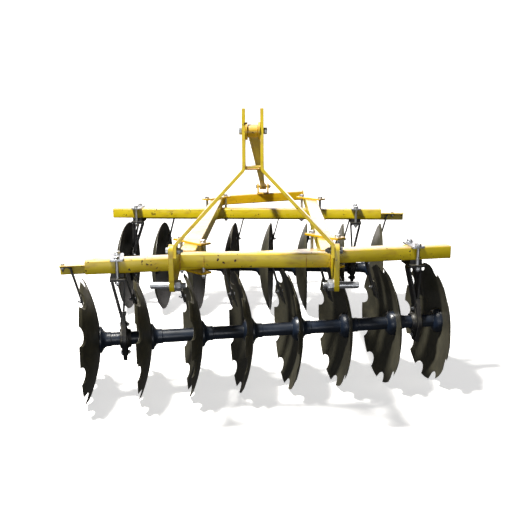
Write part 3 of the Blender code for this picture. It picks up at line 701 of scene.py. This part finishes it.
class HARROW_OT_frame(bpy.types.Operator):
    """Rails, crossbars and the welds between them"""

    bl_idname = "harrow.frame"
    bl_label = "Frame tubes"

    def execute(self, context):
        for side in SIDES:
            square_tube(side + "_rail_tube", side + "_rail", "Y")
        square_tube("front_crossbar_tube", "front_crossbar", "X")
        frame_welds(rear_crossbar())
        return {"FINISHED"}


# ---- hitch --------------------------------------------------------------------------------
def hitch_plate(side):
    """Flame-cut side plate: round nose at the pin, round top at the mast's foot."""
    low, high = span(side + "_hitch_plate")
    bar_low, bar_high = span("front_crossbar")
    pin, foot = middle_of(side + "_lower_pin"), middle_of(side + "_foot_bolt")
    nose = pin.y - low.y
    outline = [(bar_high.y, bar_low.z), (bar_high.y, bar_high.z)]
    outline += arc((pin.y, foot.z), nose, 75, 180, 14)
    outline += arc((pin.y, pin.z), nose, 180, 310, 16)
    bm = bmesh.new()
    prism(bm, outline, "X", low.x, high.x)
    fixed(side + "_cheek_plate", bm, "yellow", nodes=[side + "_hitch_plate"], edge=sizes().plate_edge,
          rounds=3)


def lower_pin(side):
    """Hitch pin: chamfered nose with a linch hole, collar, threaded tail, washer and nut."""
    low, high = span(side + "_lower_pin")
    plate_low, plate_high = span(side + "_hitch_plate")
    y, z = middle_of(side + "_lower_pin").yz
    if side == "left":
        tail, nose, inner, outer, out = high.x, low.x, plate_high.x, plate_low.x, -1
    else:
        tail, nose, inner, outer, out = low.x, high.x, plate_low.x, plate_high.x, 1
    shaft = bmesh.new()
    rod(shaft, (inner, y, z), (nose, y, z), PIN, 40, 0.0028)
    washer(shaft, (outer, y, z), (outer + out * 0.007, y, z), 0.021)
    pin = fixed(side + "_pin_shaft", shaft, "zinc", nodes=[side + "_lower_pin"])
    hole_x = nose - out * 0.011
    drill(pin, (hole_x, y, z - 0.03), (hole_x, y, z + 0.03), 0.0042)
    tail_parts = bmesh.new()
    thread(tail_parts, (inner, y, z), (tail, y, z), 0.012)
    washer(tail_parts, (inner - out * 0.0003, y, z), (inner - out * 0.003, y, z), 0.024)
    hexagon(tail_parts, (inner - out * 0.003, y, z), (inner - out * 0.025, y, z), 0.0225, 0.3)
    fixed(side + "_pin_nut", tail_parts, "zinc")


def foot_bolt(side):
    y, z = middle_of(side + "_foot_bolt").yz
    plate_low, plate_high = span(side + "_hitch_plate")
    leg = MAST_BAR + 2 * GAP
    if side == "left":
        head, nut = plate_low.x, plate_high.x + leg
    else:
        head, nut = plate_high.x, plate_low.x - leg
    bm = bmesh.new()
    bolt_set(bm, (head, y, z), (nut, y, z), BOLT, NUT)
    fixed(side + "_foot_bolt_set", bm, "zinc", nodes=[side + "_foot_bolt"])


class HARROW_OT_hitch(bpy.types.Operator):
    """Cheek plates, lower pins and the bolts through the mast's feet"""

    bl_idname = "harrow.hitch"
    bl_label = "Hitch"

    def execute(self, context):
        for side in SIDES:
            hitch_plate(side)
            lower_pin(side)
            foot_bolt(side)
        return {"FINISHED"}


# ---- mast ---------------------------------------------------------------------------------
def mast_lean():
    """How far the mast goes back for each metre up."""
    foot, top = middle_of("left_foot_bolt"), middle_of("mast_bolt")
    return (top.y - foot.y) / (top.z - foot.z)


def mast_leg(side):
    """A flat bar bent twice: upright at the foot, slanting in, upright again at the top."""
    low, high = span(side + "_mast_leg")
    foot = middle_of(side + "_foot_bolt")
    strap = span("mast_strap")[0].z
    inner, outer = low.x + MAST_BAR / 2, high.x - MAST_BAR / 2
    foot_x, top_x = (inner, outer) if side == "left" else (outer, inner)
    path = [(foot_x, low.z), (foot_x, foot.z + 0.024), (top_x, strap - 0.004), (top_x, high.z)]
    bm = bmesh.new()
    prism(bm, strip(path, MAST_BAR, 0.022), "Y", -MAST_WIDTH / 2, MAST_WIDTH / 2)
    for vert in bm.verts:
        vert.co.y += foot.y + (vert.co.z - foot.z) * mast_lean()
    fixed(side + "_mast_bar", bm, "yellow", nodes=[side + "_mast_leg"], edge=sizes().plate_edge, rounds=3)


def mast_strap():
    """The strap that ties the legs at their bend, with its welds."""
    low, high = span("mast_strap")
    bm = bmesh.new()
    block(bm, low, high)
    fixed("mast_tie", bm, "yellow", nodes=["mast_strap"], edge=0.001)
    welds = bmesh.new()
    for x in (low.x, high.x):
        for y in (low.y, high.y):
            inward = 0.004 if x == low.x else -0.004
            bead(welds, [(x + inward, y, low.z), (x + inward * 0.4, y, high.z)], 0.0035, False, 2)
        bead(welds, [(x, low.y, low.z), (x, high.y, low.z)], 0.004, False, 4)
    front = [(low.x, low.y, low.z - 0.001), (high.x, low.y, low.z - 0.001)]
    bead(welds, front, 0.0036, False, 6)
    fixed("mast_tie_welds", welds, "weld")


def mast_spool():
    """Flanged sleeves either side of the stay's eye, on the top bolt."""
    low, high = span("mast_spool")
    y, z = middle_of("mast_spool").yz
    rim = (high.z - low.z) / 2
    bm = bmesh.new()
    for start, end in ((low.x, low.x + 0.008), (high.x, high.x - 0.008)):
        flange = [(0, 0), (0, rim - 0.001), (0.001, rim), (0.007, rim), (0.008, rim - 0.001), (0.008, 0)]
        lathe(bm, flange, along((start, y, z), (end, y, z)), 48)
    rod(bm, (low.x, y, z), (high.x, y, z), 0.0178, 40)
    fixed("top_sleeve", bm, "orange", nodes=["mast_spool"])

    reach = MAST_BAR + GAP
    leg_low, leg_high = span("left_mast_leg")[1].x - reach, span("right_mast_leg")[0].x + reach
    bolt = bmesh.new()
    bolt_set(bolt, (leg_low, y, z), (leg_high, y, z), 0.009, NUT, False, 0.001)
    fixed("top_bolt", bolt, "zinc", nodes=["mast_bolt"])


class HARROW_OT_mast(bpy.types.Operator):
    """Mast bars, their tie and the sleeve and bolt for the top link"""

    bl_idname = "harrow.mast"
    bl_label = "Mast"

    def execute(self, context):
        for side in SIDES:
            mast_leg(side)
        mast_strap()
        mast_spool()
        return {"FINISHED"}


# ---- stay ---------------------------------------------------------------------------------
def stay_place():
    """Origin at the mast's top bolt, Z down along the stay, X across the harrow."""
    top, low = middle_of("mast_spool"), middle_of("stay_bracket")
    low.z = middle_of("stay_bolt").z
    down = (low - top).normalized()
    across = Vector((1, 0, 0))
    across = (across - down * across.dot(down)).normalized()
    turn = Matrix((across, down.cross(across), down)).transposed().to_4x4()
    return Matrix.Translation(top) @ turn, (low - top).length


def stay_bars():
    """Two flats on a web, tapering from the eye on the mast to the eye in the fork."""
    place, reach = stay_place()
    flats = bmesh.new()
    for sign, top in ((-1, -0.0150), (1, 0.0215)):
        path = [(sign * 0.0150, 0.018), (top, 0.055),
                (sign * 0.0085, reach - 0.060), (sign * 0.0085, reach - 0.006)]
        prism(flats, strip(path, 0.008, 0.10), "Y", -0.016, 0.016)
    fixed("stay_flats", flats, "yellow", place, ["mast_stay"], sizes().plate_edge)
    web = bmesh.new()
    outline = [(-0.0145, 0.020), (0.0145, 0.020), (0.0205, 0.058),
               (0.0080, reach - 0.010), (-0.0080, reach - 0.010), (-0.0145, 0.058)]
    prism(web, outline, "Y", -0.004, 0.010)
    fixed("stay_web", web, "yellow", place, edge=0.001)
    eyes = bmesh.new()
    rod(eyes, (-0.0195, 0, 0), (0.0195, 0, 0), 0.0255, 48)
    rod(eyes, (-0.022, 0, reach), (0.022, 0, reach), 0.019, 40)
    bead(eyes, [(-0.015, -0.018, reach - 0.02), (0.015, -0.018, reach - 0.02)], 0.003, False, 1)
    fixed("stay_eyes", eyes, "orange", place, edge=0.0008)


def stay_fork():
    """A bent fork welded on the slanted bar, and its bolt."""
    low, high = span("stay_bracket")
    bolt = middle_of("stay_bolt")
    thick, middle = 0.010, (low.y + high.y) / 2
    bm = bmesh.new()
    block(bm, low, (high.x, high.y, low.z + thick))
    for x in (low.x, high.x - thick):
        half = (high.y - low.y) / 2
        outline = [(low.y, low.z + 0.002)]
        outline += arc((middle, high.z - half * 0.8), half, 180, 0, 12)
        outline += [(high.y, low.z + 0.002)]
        outline = [(y, min(z, high.z)) for y, z in outline]
        prism(bm, outline, "X", x, x + thick)
    fixed("stay_fork", bm, "orange", nodes=["stay_bracket"], edge=sizes().plate_edge)
    bolts = bmesh.new()
    ends = (low.x - GAP, bolt.y, bolt.z), (high.x + GAP, bolt.y, bolt.z)
    bolt_set(bolts, *ends, BOLT, NUT, False, 0.003)
    fixed("stay_bolt_set", bolts, "zinc", nodes=["stay_bolt"])
    welds = bmesh.new()
    ring = [(low.x, low.y, low.z), (high.x, low.y, low.z), (high.x, high.y, low.z), (low.x, high.y, low.z)]
    bead(welds, ring, sizes().weld * 0.8, True, 8)
    fixed("stay_fork_weld", welds, "weld")


class HARROW_OT_stay(bpy.types.Operator):
    """The stay from the mast's top to the rear crossbar"""

    bl_idname = "harrow.stay"
    bl_label = "Stay"

    def execute(self, context):
        stay_bars()
        stay_fork()
        return {"FINISHED"}


# ---- clamps between rails and gang beams ---------------------------------------------------
def clamp_place(node):
    """Middle of a clamp, turned to lie along its plates."""
    middle = middle_of(node)
    middle.z = 0
    places = [Matrix.Translation(middle) @ Matrix.Rotation(math.radians(turn), 4, "Z")
              for turn in (45, -45)]
    return min(places, key=lambda place: span(node, place)[1].y)


def frame_clamp(node):
    """Two plates drawn together by two bolts across a rail and a beam."""
    place = clamp_place(node)
    low, high = span(node, place)
    rail_top = span("left_rail")[1].z
    beam_low = span("front_gang_beam")[0].z
    over, under = rail_top + CLAMP_THICK, beam_low - CLAMP_THICK
    plates = bmesh.new()
    block(plates, (low.x, low.y, rail_top + GAP), (high.x, high.y, over))
    block(plates, (low.x, low.y, under), (high.x, high.y, beam_low - GAP))
    fixed(node + "_plates", plates, "orange", place, [node], sizes().plate_edge)
    bolts = bmesh.new()
    for x in (-CLAMP_BOLT_ASIDE, CLAMP_BOLT_ASIDE):
        bolt_set(bolts, (x, 0, over), (x, 0, under), BOLT, NUT)
    fixed(node + "_bolts", bolts, "zinc", place)


class HARROW_OT_clamps(bpy.types.Operator):
    """The four bolted clamps that hold the gang beams under the rails"""

    bl_idname = "harrow.clamps"
    bl_label = "Frame clamps"

    def execute(self, context):
        for gang in GANGS:
            for side in SIDES:
                frame_clamp(f"{gang}_{side}_clamp")
        return {"FINISHED"}


# ---- hangers ------------------------------------------------------------------------------
def hanger_lines(gang, side):
    """Along the gang: middle of eye plate, strip top and head; and how far back the head sits."""
    node, place = f"{gang}_{side}_hanger", GANGS[gang]
    low = span(node, place)[0]
    back = place.inverted()
    points = [back @ vert.co for vert in frame["nodes"][node].data.vertices]
    tips = [point.x for point in points if point.z < low.z + 0.001]
    head = middle_of(node + "_clamp", place)
    return sum(tips) / len(tips), head.x + FACING[gang] * 0.029, head.x, head.y


def hanger_strips(gang, side):
    """An upright strip and a slanting brace under a channel head, closing on the bearing's eye plate."""
    node, place = f"{gang}_{side}_hanger", GANGS[gang]
    low, high = span(node, place)
    eye, upright, head, back = hanger_lines(gang, side)
    facing, thick, join = FACING[gang], sizes().strip, HANGER_JOIN
    head_top, head_low = high.z - 0.019, high.z - HANGER_HEAD
    seat = head_low - thick / 2
    bm = bmesh.new()
    brace = (upright - facing * HANGER_BRACE, eye - facing * thick * 0.95)
    for over, under in ((upright, eye), brace):
        path = [(head, seat), (over, seat), (under, join), (under, join - 0.020)]
        prism(bm, strip(path, thick, 0.012), "Y", back - 0.030, back + 0.030)
    block(bm, (head - 0.029, back - 0.040, head_top - 0.001), (head + 0.029, back + 0.040, high.z))
    block(bm, (head - 0.034, back - 0.069, head_low), (head + 0.034, back + 0.069, head_top))
    plate = [(0.030 + back, join + 0.015), (-0.030 + back, join + 0.015)]
    plate += arc((0, 0), 0.058, 145, 215, 8) + [(-0.026, low.z), (0.026, low.z)]
    plate += arc((0, 0), 0.058, -35, 35, 8)
    prism(bm, plate, "X", eye - thick * 0.95, eye + thick * 0.95)
    fixed(node + "_strips", bm, "black", place, [node], sizes().plate_edge)
    seam = bmesh.new()
    for x in (eye - thick, eye + thick):
        bead(seam, [(x, back - 0.028, join + 0.015), (x, back + 0.028, join + 0.015)], 0.003, False, 2)
    fixed(node + "_seams", seam, "black", place)


def hanger_bearing(gang, side):
    """Pressed flanges with two ears either side of the eye plate, the bearing's ring and the studs."""
    node, place = f"{gang}_{side}_hanger_bearing", GANGS[gang]
    eye = hanger_lines(gang, side)[0]
    low, high = span(node, place)
    out = 1 if (low.x + high.x) / 2 > eye else -1
    bore, skin = 0.0325, sizes().strip
    bm = bmesh.new()
    for sign, reach in ((out, 0.021), (-out, 0.012)):
        face = eye + sign * skin
        ears = arc((0, 0), 0.049, -35, 35, 10) + arc((0, EAR_REACH), 0.015, 30, 150, 8)
        ears += arc((0, 0), 0.049, 145, 215, 10) + arc((0, -EAR_REACH), 0.015, 210, 330, 8)
        prism(bm, ears, "X", *sorted((face, face + sign * 0.0045)))
        ring = [(0.002, bore), (0.002, 0.046), (0.0075, 0.0455), (0.0105, 0.042), (reach - 0.001, 0.040),
                (reach, 0.0385), (reach - 0.0015, 0.036), (reach - 0.0015, bore)]
        lathe(bm, ring + ring[:1], along((face, 0, 0), (face + sign, 0, 0)), 64)
    fixed(node + "_housing", bm, "black", place, [node], 0.0012)
    studs = bmesh.new()
    for z in (-EAR_REACH, EAR_REACH):
        seat = skin + 0.0045
        bolt_set(studs, (eye - out * seat, 0, z), (eye + out * seat, 0, z), STUD, STUD_NUT, False, 0.004)
    fixed(node + "_studs", studs, "zinc", place)


def hanger_clamp(gang, side):
    """Plated top plate and two bolts that hang the hanger under its beam."""
    node, place = f"{gang}_{side}_hanger_clamp", GANGS[gang]
    low, high = span(node, place)
    x, back = (low.x + high.x) / 2, (low.y + high.y) / 2
    top = span(gang + "_gang_beam", place)[1].z
    bottom = span(f"{gang}_{side}_hanger", place)[1].z - HANGER_HEAD
    plate = bmesh.new()
    outline = rounded((low.x, low.y), (high.x, high.y), 0.006, 4)
    prism(plate, outline, "Z", top + GAP, top + HANGER_PLATE)
    bolts = bmesh.new()
    for y in (back - HANGER_BOLT_ASIDE, back + HANGER_BOLT_ASIDE):
        bolt_set(bolts, (x, y, top + HANGER_PLATE), (x, y, bottom), HANGER_BOLT, HANGER_NUT)
    fixed(node + "_plate", plate, "zinc", place, [node], 0.0010)
    fixed(node + "_bolts", bolts, "zinc", place)


class HARROW_OT_hangers(bpy.types.Operator):
    """Gang beams, hangers, bearings and their clamps"""

    bl_idname = "harrow.hangers"
    bl_label = "Beams and hangers"

    def execute(self, context):
        for gang, place in GANGS.items():
            square_tube(gang + "_beam_tube", gang + "_gang_beam", "X", place)
            for side in SIDES:
                hanger_strips(gang, side)
                hanger_bearing(gang, side)
                hanger_clamp(gang, side)
        return {"FINISHED"}


# ---- scrapers -----------------------------------------------------------------------------
def hub_of(gang, number):
    """Where a disc's flat middle sits along its gang."""
    low, high = span(f"{gang}_disc_{number}", GANGS[gang])
    half = sizes().disc_thick / 2
    return high.x - half if FACING[gang] > 0 else low.x + half


def scraper_bar(gang):
    """Angle iron on edge behind the beam, on feet on the hangers."""
    node = gang + "_scraper_bar"
    place = GANGS[gang]
    low, high = span(node, place)
    top, wide, thick = high.z, SCRAPER_ANGLE, SCRAPER_ANGLE_THICK
    face = high.y - 0.038 - wide / 2
    outline = [(face, top - thick), (face, top), (face + wide, top), (face + wide, top - wide),
               (face + wide - thick, top - wide), (face + wide - thick, top - thick)]
    bm = bmesh.new()
    prism(bm, outline, "X", low.x, high.x)
    fixed(gang + "_scraper_angle", bm, "yellow", place, [node], 0.0012)
    feet = bmesh.new()
    for side in SIDES:
        x = hanger_lines(gang, side)[2] - FACING[gang] * 0.020
        foot = span(f"{gang}_{side}_hanger", place)[1].z - 0.0187
        block(feet, (x - 0.012, face - 0.003, foot), (x + 0.012, face + wide / 2, top - thick / 2))
    piece(gang + "_scraper_feet", feet, finish_named("black"), "frame", place,
          edge=0.001)
    return face + wide / 2, top - thick


def scraper(gang, number, y, under):
    """A strap bolted under the bar, bent down beside its disc, with a bolted blade."""
    hub, facing, place = hub_of(gang, number), FACING[gang], GANGS[gang]
    thick, width, low = SCRAPER_THICK, SCRAPER_WIDTH, SCRAPER_LOW

    def off(z):
        return hub - facing * (SCRAPER_STAND + (z - low) * SCRAPER_SLOPE)

    seat = under - thick / 2
    arms = bmesh.new()
    path = [(off(seat) - facing * 0.044, seat), (off(seat) + facing * 0.002, seat),
            (off(seat - 0.03), seat - 0.03), (off(low + 0.03), low + 0.03)]
    prism(arms, strip(path, thick, 0.018, 6), "Y", y - width / 2, y + width / 2)
    fixed(f"{gang}_scraper_arm_{number}", arms, "black", place, edge=0.001)
    blade = bmesh.new()
    high = low + 0.09
    outline = [(off(low) + facing * 0.004, low), (off(low) + facing * 0.009, low),
               (off(high) + facing * 0.009, high), (off(high) + facing * 0.004, high)]
    prism(blade, outline, "Y", y - 0.038, y + 0.038)
    fixed(f"{gang}_scraper_blade_{number}", blade, "blade", place, edge=0.001)
    bolts = bmesh.new()
    bolt_x = off(seat) - facing * 0.032
    over = under + SCRAPER_ANGLE_THICK
    bolt_set(bolts, (bolt_x, y, over), (bolt_x, y, under - thick), SCRAPER_BOLT, SCRAPER_NUT, False)
    z = low + 0.055
    ends = (off(z) + facing * 0.009, y, z), (off(z) - facing * 0.004, y, z)
    bolt_set(bolts, *ends, SCRAPER_BOLT, SCRAPER_NUT, False)
    fixed(f"{gang}_scraper_bolts_{number}", bolts, "zinc", place)


class HARROW_OT_scrapers(bpy.types.Operator):
    """Scraper bars, arms and blades"""

    bl_idname = "harrow.scrapers"
    bl_label = "Scrapers"

    def execute(self, context):
        for gang in GANGS:
            y, under = scraper_bar(gang)
            for number in range(1, DISCS + 1):
                scraper(gang, number, y, under)
        return {"FINISHED"}


# ---- discs --------------------------------------------------------------------------------
NOTCHES = 10
NOTCH_TURN = math.radians(-3.5)
TURNED_DISCS = (8,)  # front discs put on their square axle a quarter turn round


def rim_at(angle, radius, notched, turn):
    """How far the rim stands from the axle at an angle from straight down."""
    if not notched:
        return radius
    pitch = 2 * math.pi / NOTCHES
    off = (angle - turn + pitch / 2) % pitch - pitch / 2
    away = radius + sizes().notch - sizes().notch_depth
    inside = sizes().notch ** 2 - (away * math.sin(off)) ** 2
    if inside <= 0:
        return radius
    return min(radius, away * math.cos(off) - math.sqrt(inside))


def disc_angles(radius, notched, turn):
    """Columns of the disc's mesh: even round a plain disc, closer across each notch."""
    if not notched:
        return [2 * math.pi * step / 112 for step in range(112)]
    away = radius + sizes().notch - sizes().notch_depth
    half = math.acos((radius**2 + away**2 - sizes().notch**2) / (2 * radius * away))
    pitch = 2 * math.pi / NOTCHES
    angles = []
    for notch in range(NOTCHES):
        middle = turn + notch * pitch
        angles += [middle - half * math.cos(math.pi * step / 12) for step in range(13)]
        angles += [middle + half + (pitch - 2 * half) * step / 6 for step in range(1, 6)]
    return angles


def disc_mesh(hub, facing, radius, dish, notched, turn):
    """A dished sheet with a ground rim, hollow towards -facing."""
    flat, thick, ground = sizes().disc_flat, sizes().disc_thick, sizes().disc_edge
    bm = bmesh.new()
    columns = []
    for angle in disc_angles(radius, notched, turn):
        rim = rim_at(angle, radius, notched, turn)
        dished = [flat + (rim - ground - flat) * step / 9 for step in range(1, 10)]
        reaches = [0.018, flat] + dished + [rim]
        hollow, back = [], []
        for index, reach in enumerate(reaches):
            fall = max(0.0, dish * (reach**2 - flat**2) / (radius**2 - flat**2))
            sheet = thick if index < len(reaches) - 1 else 0.0012
            y, z = reach * math.sin(angle), -reach * math.cos(angle)
            inner = hub - facing * (fall + thick / 2)
            hollow.append(bm.verts.new((inner, y, z)))
            back.append(bm.verts.new((inner + facing * sheet, y, z)))
        columns.append(hollow + back[::-1])
    count = len(columns[0])
    for column, after in zip(columns, columns[1:] + columns[:1]):
        for step in range(count):
            up = (step + 1) % count
            bm.faces.new((column[step], column[up], after[up], after[step]))
    rim_rows = {count // 2 - 1, count // 2, count // 2 + 1}
    for column, after in zip(columns, columns[1:] + columns[:1]):
        for row in rim_rows:
            bm.edges.get((column[row], after[row])).smooth = False
    return bm


class HARROW_OT_discs(bpy.types.Operator):
    """Notched front discs and plain rear discs"""

    bl_idname = "harrow.discs"
    bl_label = "Discs"

    def execute(self, context):
        for gang, place in GANGS.items():
            notched = gang == "front"
            for number in range(1, DISCS + 1):
                node = f"{gang}_disc_{number}"
                low, high = span(node, place)
                dish = high.x - low.x - sizes().disc_thick
                turn = NOTCH_TURN + (math.pi / 2 if number in TURNED_DISCS else 0)
                bm = disc_mesh(hub_of(gang, number), FACING[gang], AXLE_HEIGHT, dish, notched, turn)
                piece(node + "_sheet", bm, finish_named("disc"), gang + "_gang", place, [node])
        return {"FINISHED"}


# ---- axles --------------------------------------------------------------------------------
def flare(start, inward, radius, spool, reach):
    """Profile points of a cast bell: a lipped flange that curves down to the spool."""
    points = [(start, 0), (start, radius - 0.0015), (start + inward * 0.0015, radius),
              (start + inward * 0.0075, radius), (start + inward * 0.0095, radius - 0.003)]
    for step in range(1, 8):
        share = step / 7
        drop = 1 - (1 - share) ** 2.2
        along_bell = 0.0095 + (reach - 0.0095) * share
        points.append((start + inward * along_bell, radius - 0.003 - (radius - 0.003 - spool) * drop))
    return points


def dome(start, inward, radius, spool, reach):
    """Profile points of a domed washer."""
    points = [(start, 0), (start, radius - 0.001)]
    for step in range(9):
        turn = math.pi / 2 * step / 8
        bulge = (radius - spool) * math.cos(turn)
        points.append((start + inward * reach * math.sin(turn), spool + bulge))
    return points


def spools(gang):
    """Cast spools between the discs: a bell behind each disc's back, a dome in each hollow."""
    facing, place = FACING[gang], GANGS[gang]
    hubs = [hub_of(gang, number) for number in range(1, DISCS + 1)]
    half = sizes().disc_thick / 2
    bm = bmesh.new()
    for left, right in zip(hubs, hubs[1:]):
        backs, hollows = (left, right) if facing > 0 else (right, left)
        bell = flare(backs + facing * half, facing, BELL, SPOOL + 0.003, 0.033)
        neck = bell[-1][0]
        collar = [(neck + facing * 0.016, SPOOL + 0.0028), (neck + facing * 0.019, SPOOL)]
        hollow = dome(hollows - facing * half, -facing, BELL, SPOOL, 0.034)
        lathe(bm, bell + collar + hollow[::-1], WORLD, 56)
    piece(gang + "_spools", bm, finish_named("axle"), gang + "_gang", place,
          [gang + "_gang_axle"])
    axle_ends(gang, hubs, half)


def axle_ends(gang, hubs, half):
    """End washers and nuts on the square bar."""
    facing, place = FACING[gang], GANGS[gang]
    low, high = span(gang + "_gang_axle", place)
    bm = bmesh.new()
    for hub, tip, out in ((hubs[0] - half, low.x, -1), (hubs[-1] + half, high.x, 1)):
        profile = dome if out == -facing else flare
        shape = profile(hub, out, 0.056, 0.024, 0.014)
        lathe(bm, shape + [(shape[-1][0], 0)], WORLD, 56)
        block(bm, (min(hub, tip), -0.015, -0.015), (max(hub, tip), 0.015, 0.015))
        hexagon(bm, (shape[-1][0], 0, 0), (tip - out * 0.006, 0, 0), 0.0235, 0.2)
    piece(gang + "_axle_ends", bm, finish_named("axle"), gang + "_gang", place,
          edge=0.0008)


class HARROW_OT_axles(bpy.types.Operator):
    """Spools, washers and nuts along both axles"""

    bl_idname = "harrow.axles"
    bl_label = "Axles"

    def execute(self, context):
        for gang in GANGS:
            spools(gang)
        return {"FINISHED"}


# ---- stage --------------------------------------------------------------------------------
def studio_floor():
    """A pale floor that sweeps up into a wall."""
    half, depth, wall, bend = 9.0, 7.0, 6.0, 2.5
    path = [(-depth, 0.0)] + arc((depth - bend, bend), bend, -90, 0, 16) + [(depth, wall)]
    bm = bmesh.new()
    rows = [[bm.verts.new((x, y, z)) for y, z in path] for x in (-half, half)]
    for step in range(len(path) - 1):
        bm.faces.new((rows[0][step], rows[0][step + 1], rows[1][step + 1], rows[1][step]))
    for face in bm.faces:
        face.smooth = True
    mesh = mesh_of("studio_floor", bm)
    mesh.materials.append(finish_named("floor"))
    floor = placed("studio_floor", mesh)
    floor.visible_diffuse = False
    floor.visible_glossy = False


def soft_light(name, place, aim, size, brightness, tint=(1, 1, 1)):
    """A flat lamp of a size and brightness, turned to a point."""
    light = bpy.data.lights.new(name, "AREA")
    light.shape = "RECTANGLE"
    light.size, light.size_y = size
    light.energy = brightness * math.pi * size[0] * size[1]
    light.color = tint
    lamp = placed(name, light)
    lamp.location = place
    lamp.rotation_euler = (Vector(aim) - Vector(place)).to_track_quat("-Z", "Y").to_euler()
    lamp.visible_camera = False


def studio_camera():
    """Stands before the hitch, a little above the mast, looking slightly down."""
    hitch = span("front_crossbar")
    front = Vector(((hitch[0].x + hitch[1].x) / 2, hitch[0].y, 0))
    pan, tilt, roll = math.radians(-1.55), math.radians(-12.04), math.radians(-0.57)
    lens = bpy.data.cameras.new("camera")
    lens.sensor_width = 36.0
    lens.lens = 51.94
    camera = placed("camera", lens)
    turn = Euler((math.pi / 2 + tilt, 0, -pan)).to_matrix() @ Matrix.Rotation(roll, 3, "Z")
    camera.matrix_world = Matrix.Translation(front + Vector((0.0802, -2.9665, 1.3384))) @ turn.to_4x4()
    bpy.context.scene.camera = camera


class HARROW_OT_stage(bpy.types.Operator):
    """Floor, soft lights and camera"""

    bl_idname = "harrow.stage"
    bl_label = "Studio"

    def execute(self, context):
        studio_floor()
        soft_light("key", (-1.9, -1.5, 6.0), (0, 0, 0.4), (0.6, 0.6), 820, (1.0, 0.97, 0.91))
        soft_light("front_fill", (0.2, -5.2, 0.5), (0, 0, 0.6), (5.0, 1.2), 3.6)
        soft_light("back_wash", (0, 6.2, 1.7), (0, 0, 1.4), (9.0, 2.4), 3.2, (1.0, 0.94, 0.93))
        world = bpy.data.worlds.new("studio air")
        bpy.context.scene.world = world
        world.use_nodes = True
        air = world.node_tree.nodes["Background"]
        air.inputs["Color"].default_value = (1, 1, 1, 1)
        air.inputs["Strength"].default_value = 0.06
        bpy.context.scene.view_settings.view_transform = "Standard"
        studio_camera()
        return {"FINISHED"}


# ---- add-on -------------------------------------------------------------------------------
STEPS = (HARROW_OT_frame, HARROW_OT_hitch, HARROW_OT_mast, HARROW_OT_stay, HARROW_OT_clamps,
         HARROW_OT_hangers, HARROW_OT_scrapers, HARROW_OT_discs, HARROW_OT_axles, HARROW_OT_stage)


class HARROW_PT_panel(bpy.types.Panel):
    """Lists the harrow's building steps and settings"""

    bl_idname = "HARROW_PT_panel"
    bl_label = "Disc Harrow"
    bl_space_type = "VIEW_3D"
    bl_region_type = "UI"
    bl_category = "Harrow"

    def draw(self, context):
        for step in STEPS:
            self.layout.operator(step.bl_idname)
        for group in (context.scene.harrow_sizes, context.scene.harrow_colours):
            box = self.layout.box()
            for name in group.__annotations__:
                box.prop(group, name)


CLASSES = (HarrowSizes, HarrowColours, *STEPS, HARROW_PT_panel)


def register():
    for made in CLASSES:
        bpy.utils.register_class(made)
    bpy.types.Scene.harrow_sizes = bpy.props.PointerProperty(type=HarrowSizes)
    bpy.types.Scene.harrow_colours = bpy.props.PointerProperty(type=HarrowColours)


def unregister():
    del bpy.types.Scene.harrow_colours
    del bpy.types.Scene.harrow_sizes
    for made in reversed(CLASSES):
        bpy.utils.unregister_class(made)


def main():
    register()
    for step in STEPS:
        group, name = step.bl_idname.split(".")
        getattr(getattr(bpy.ops, group), name)()


if __name__ == "__main__":
    main()
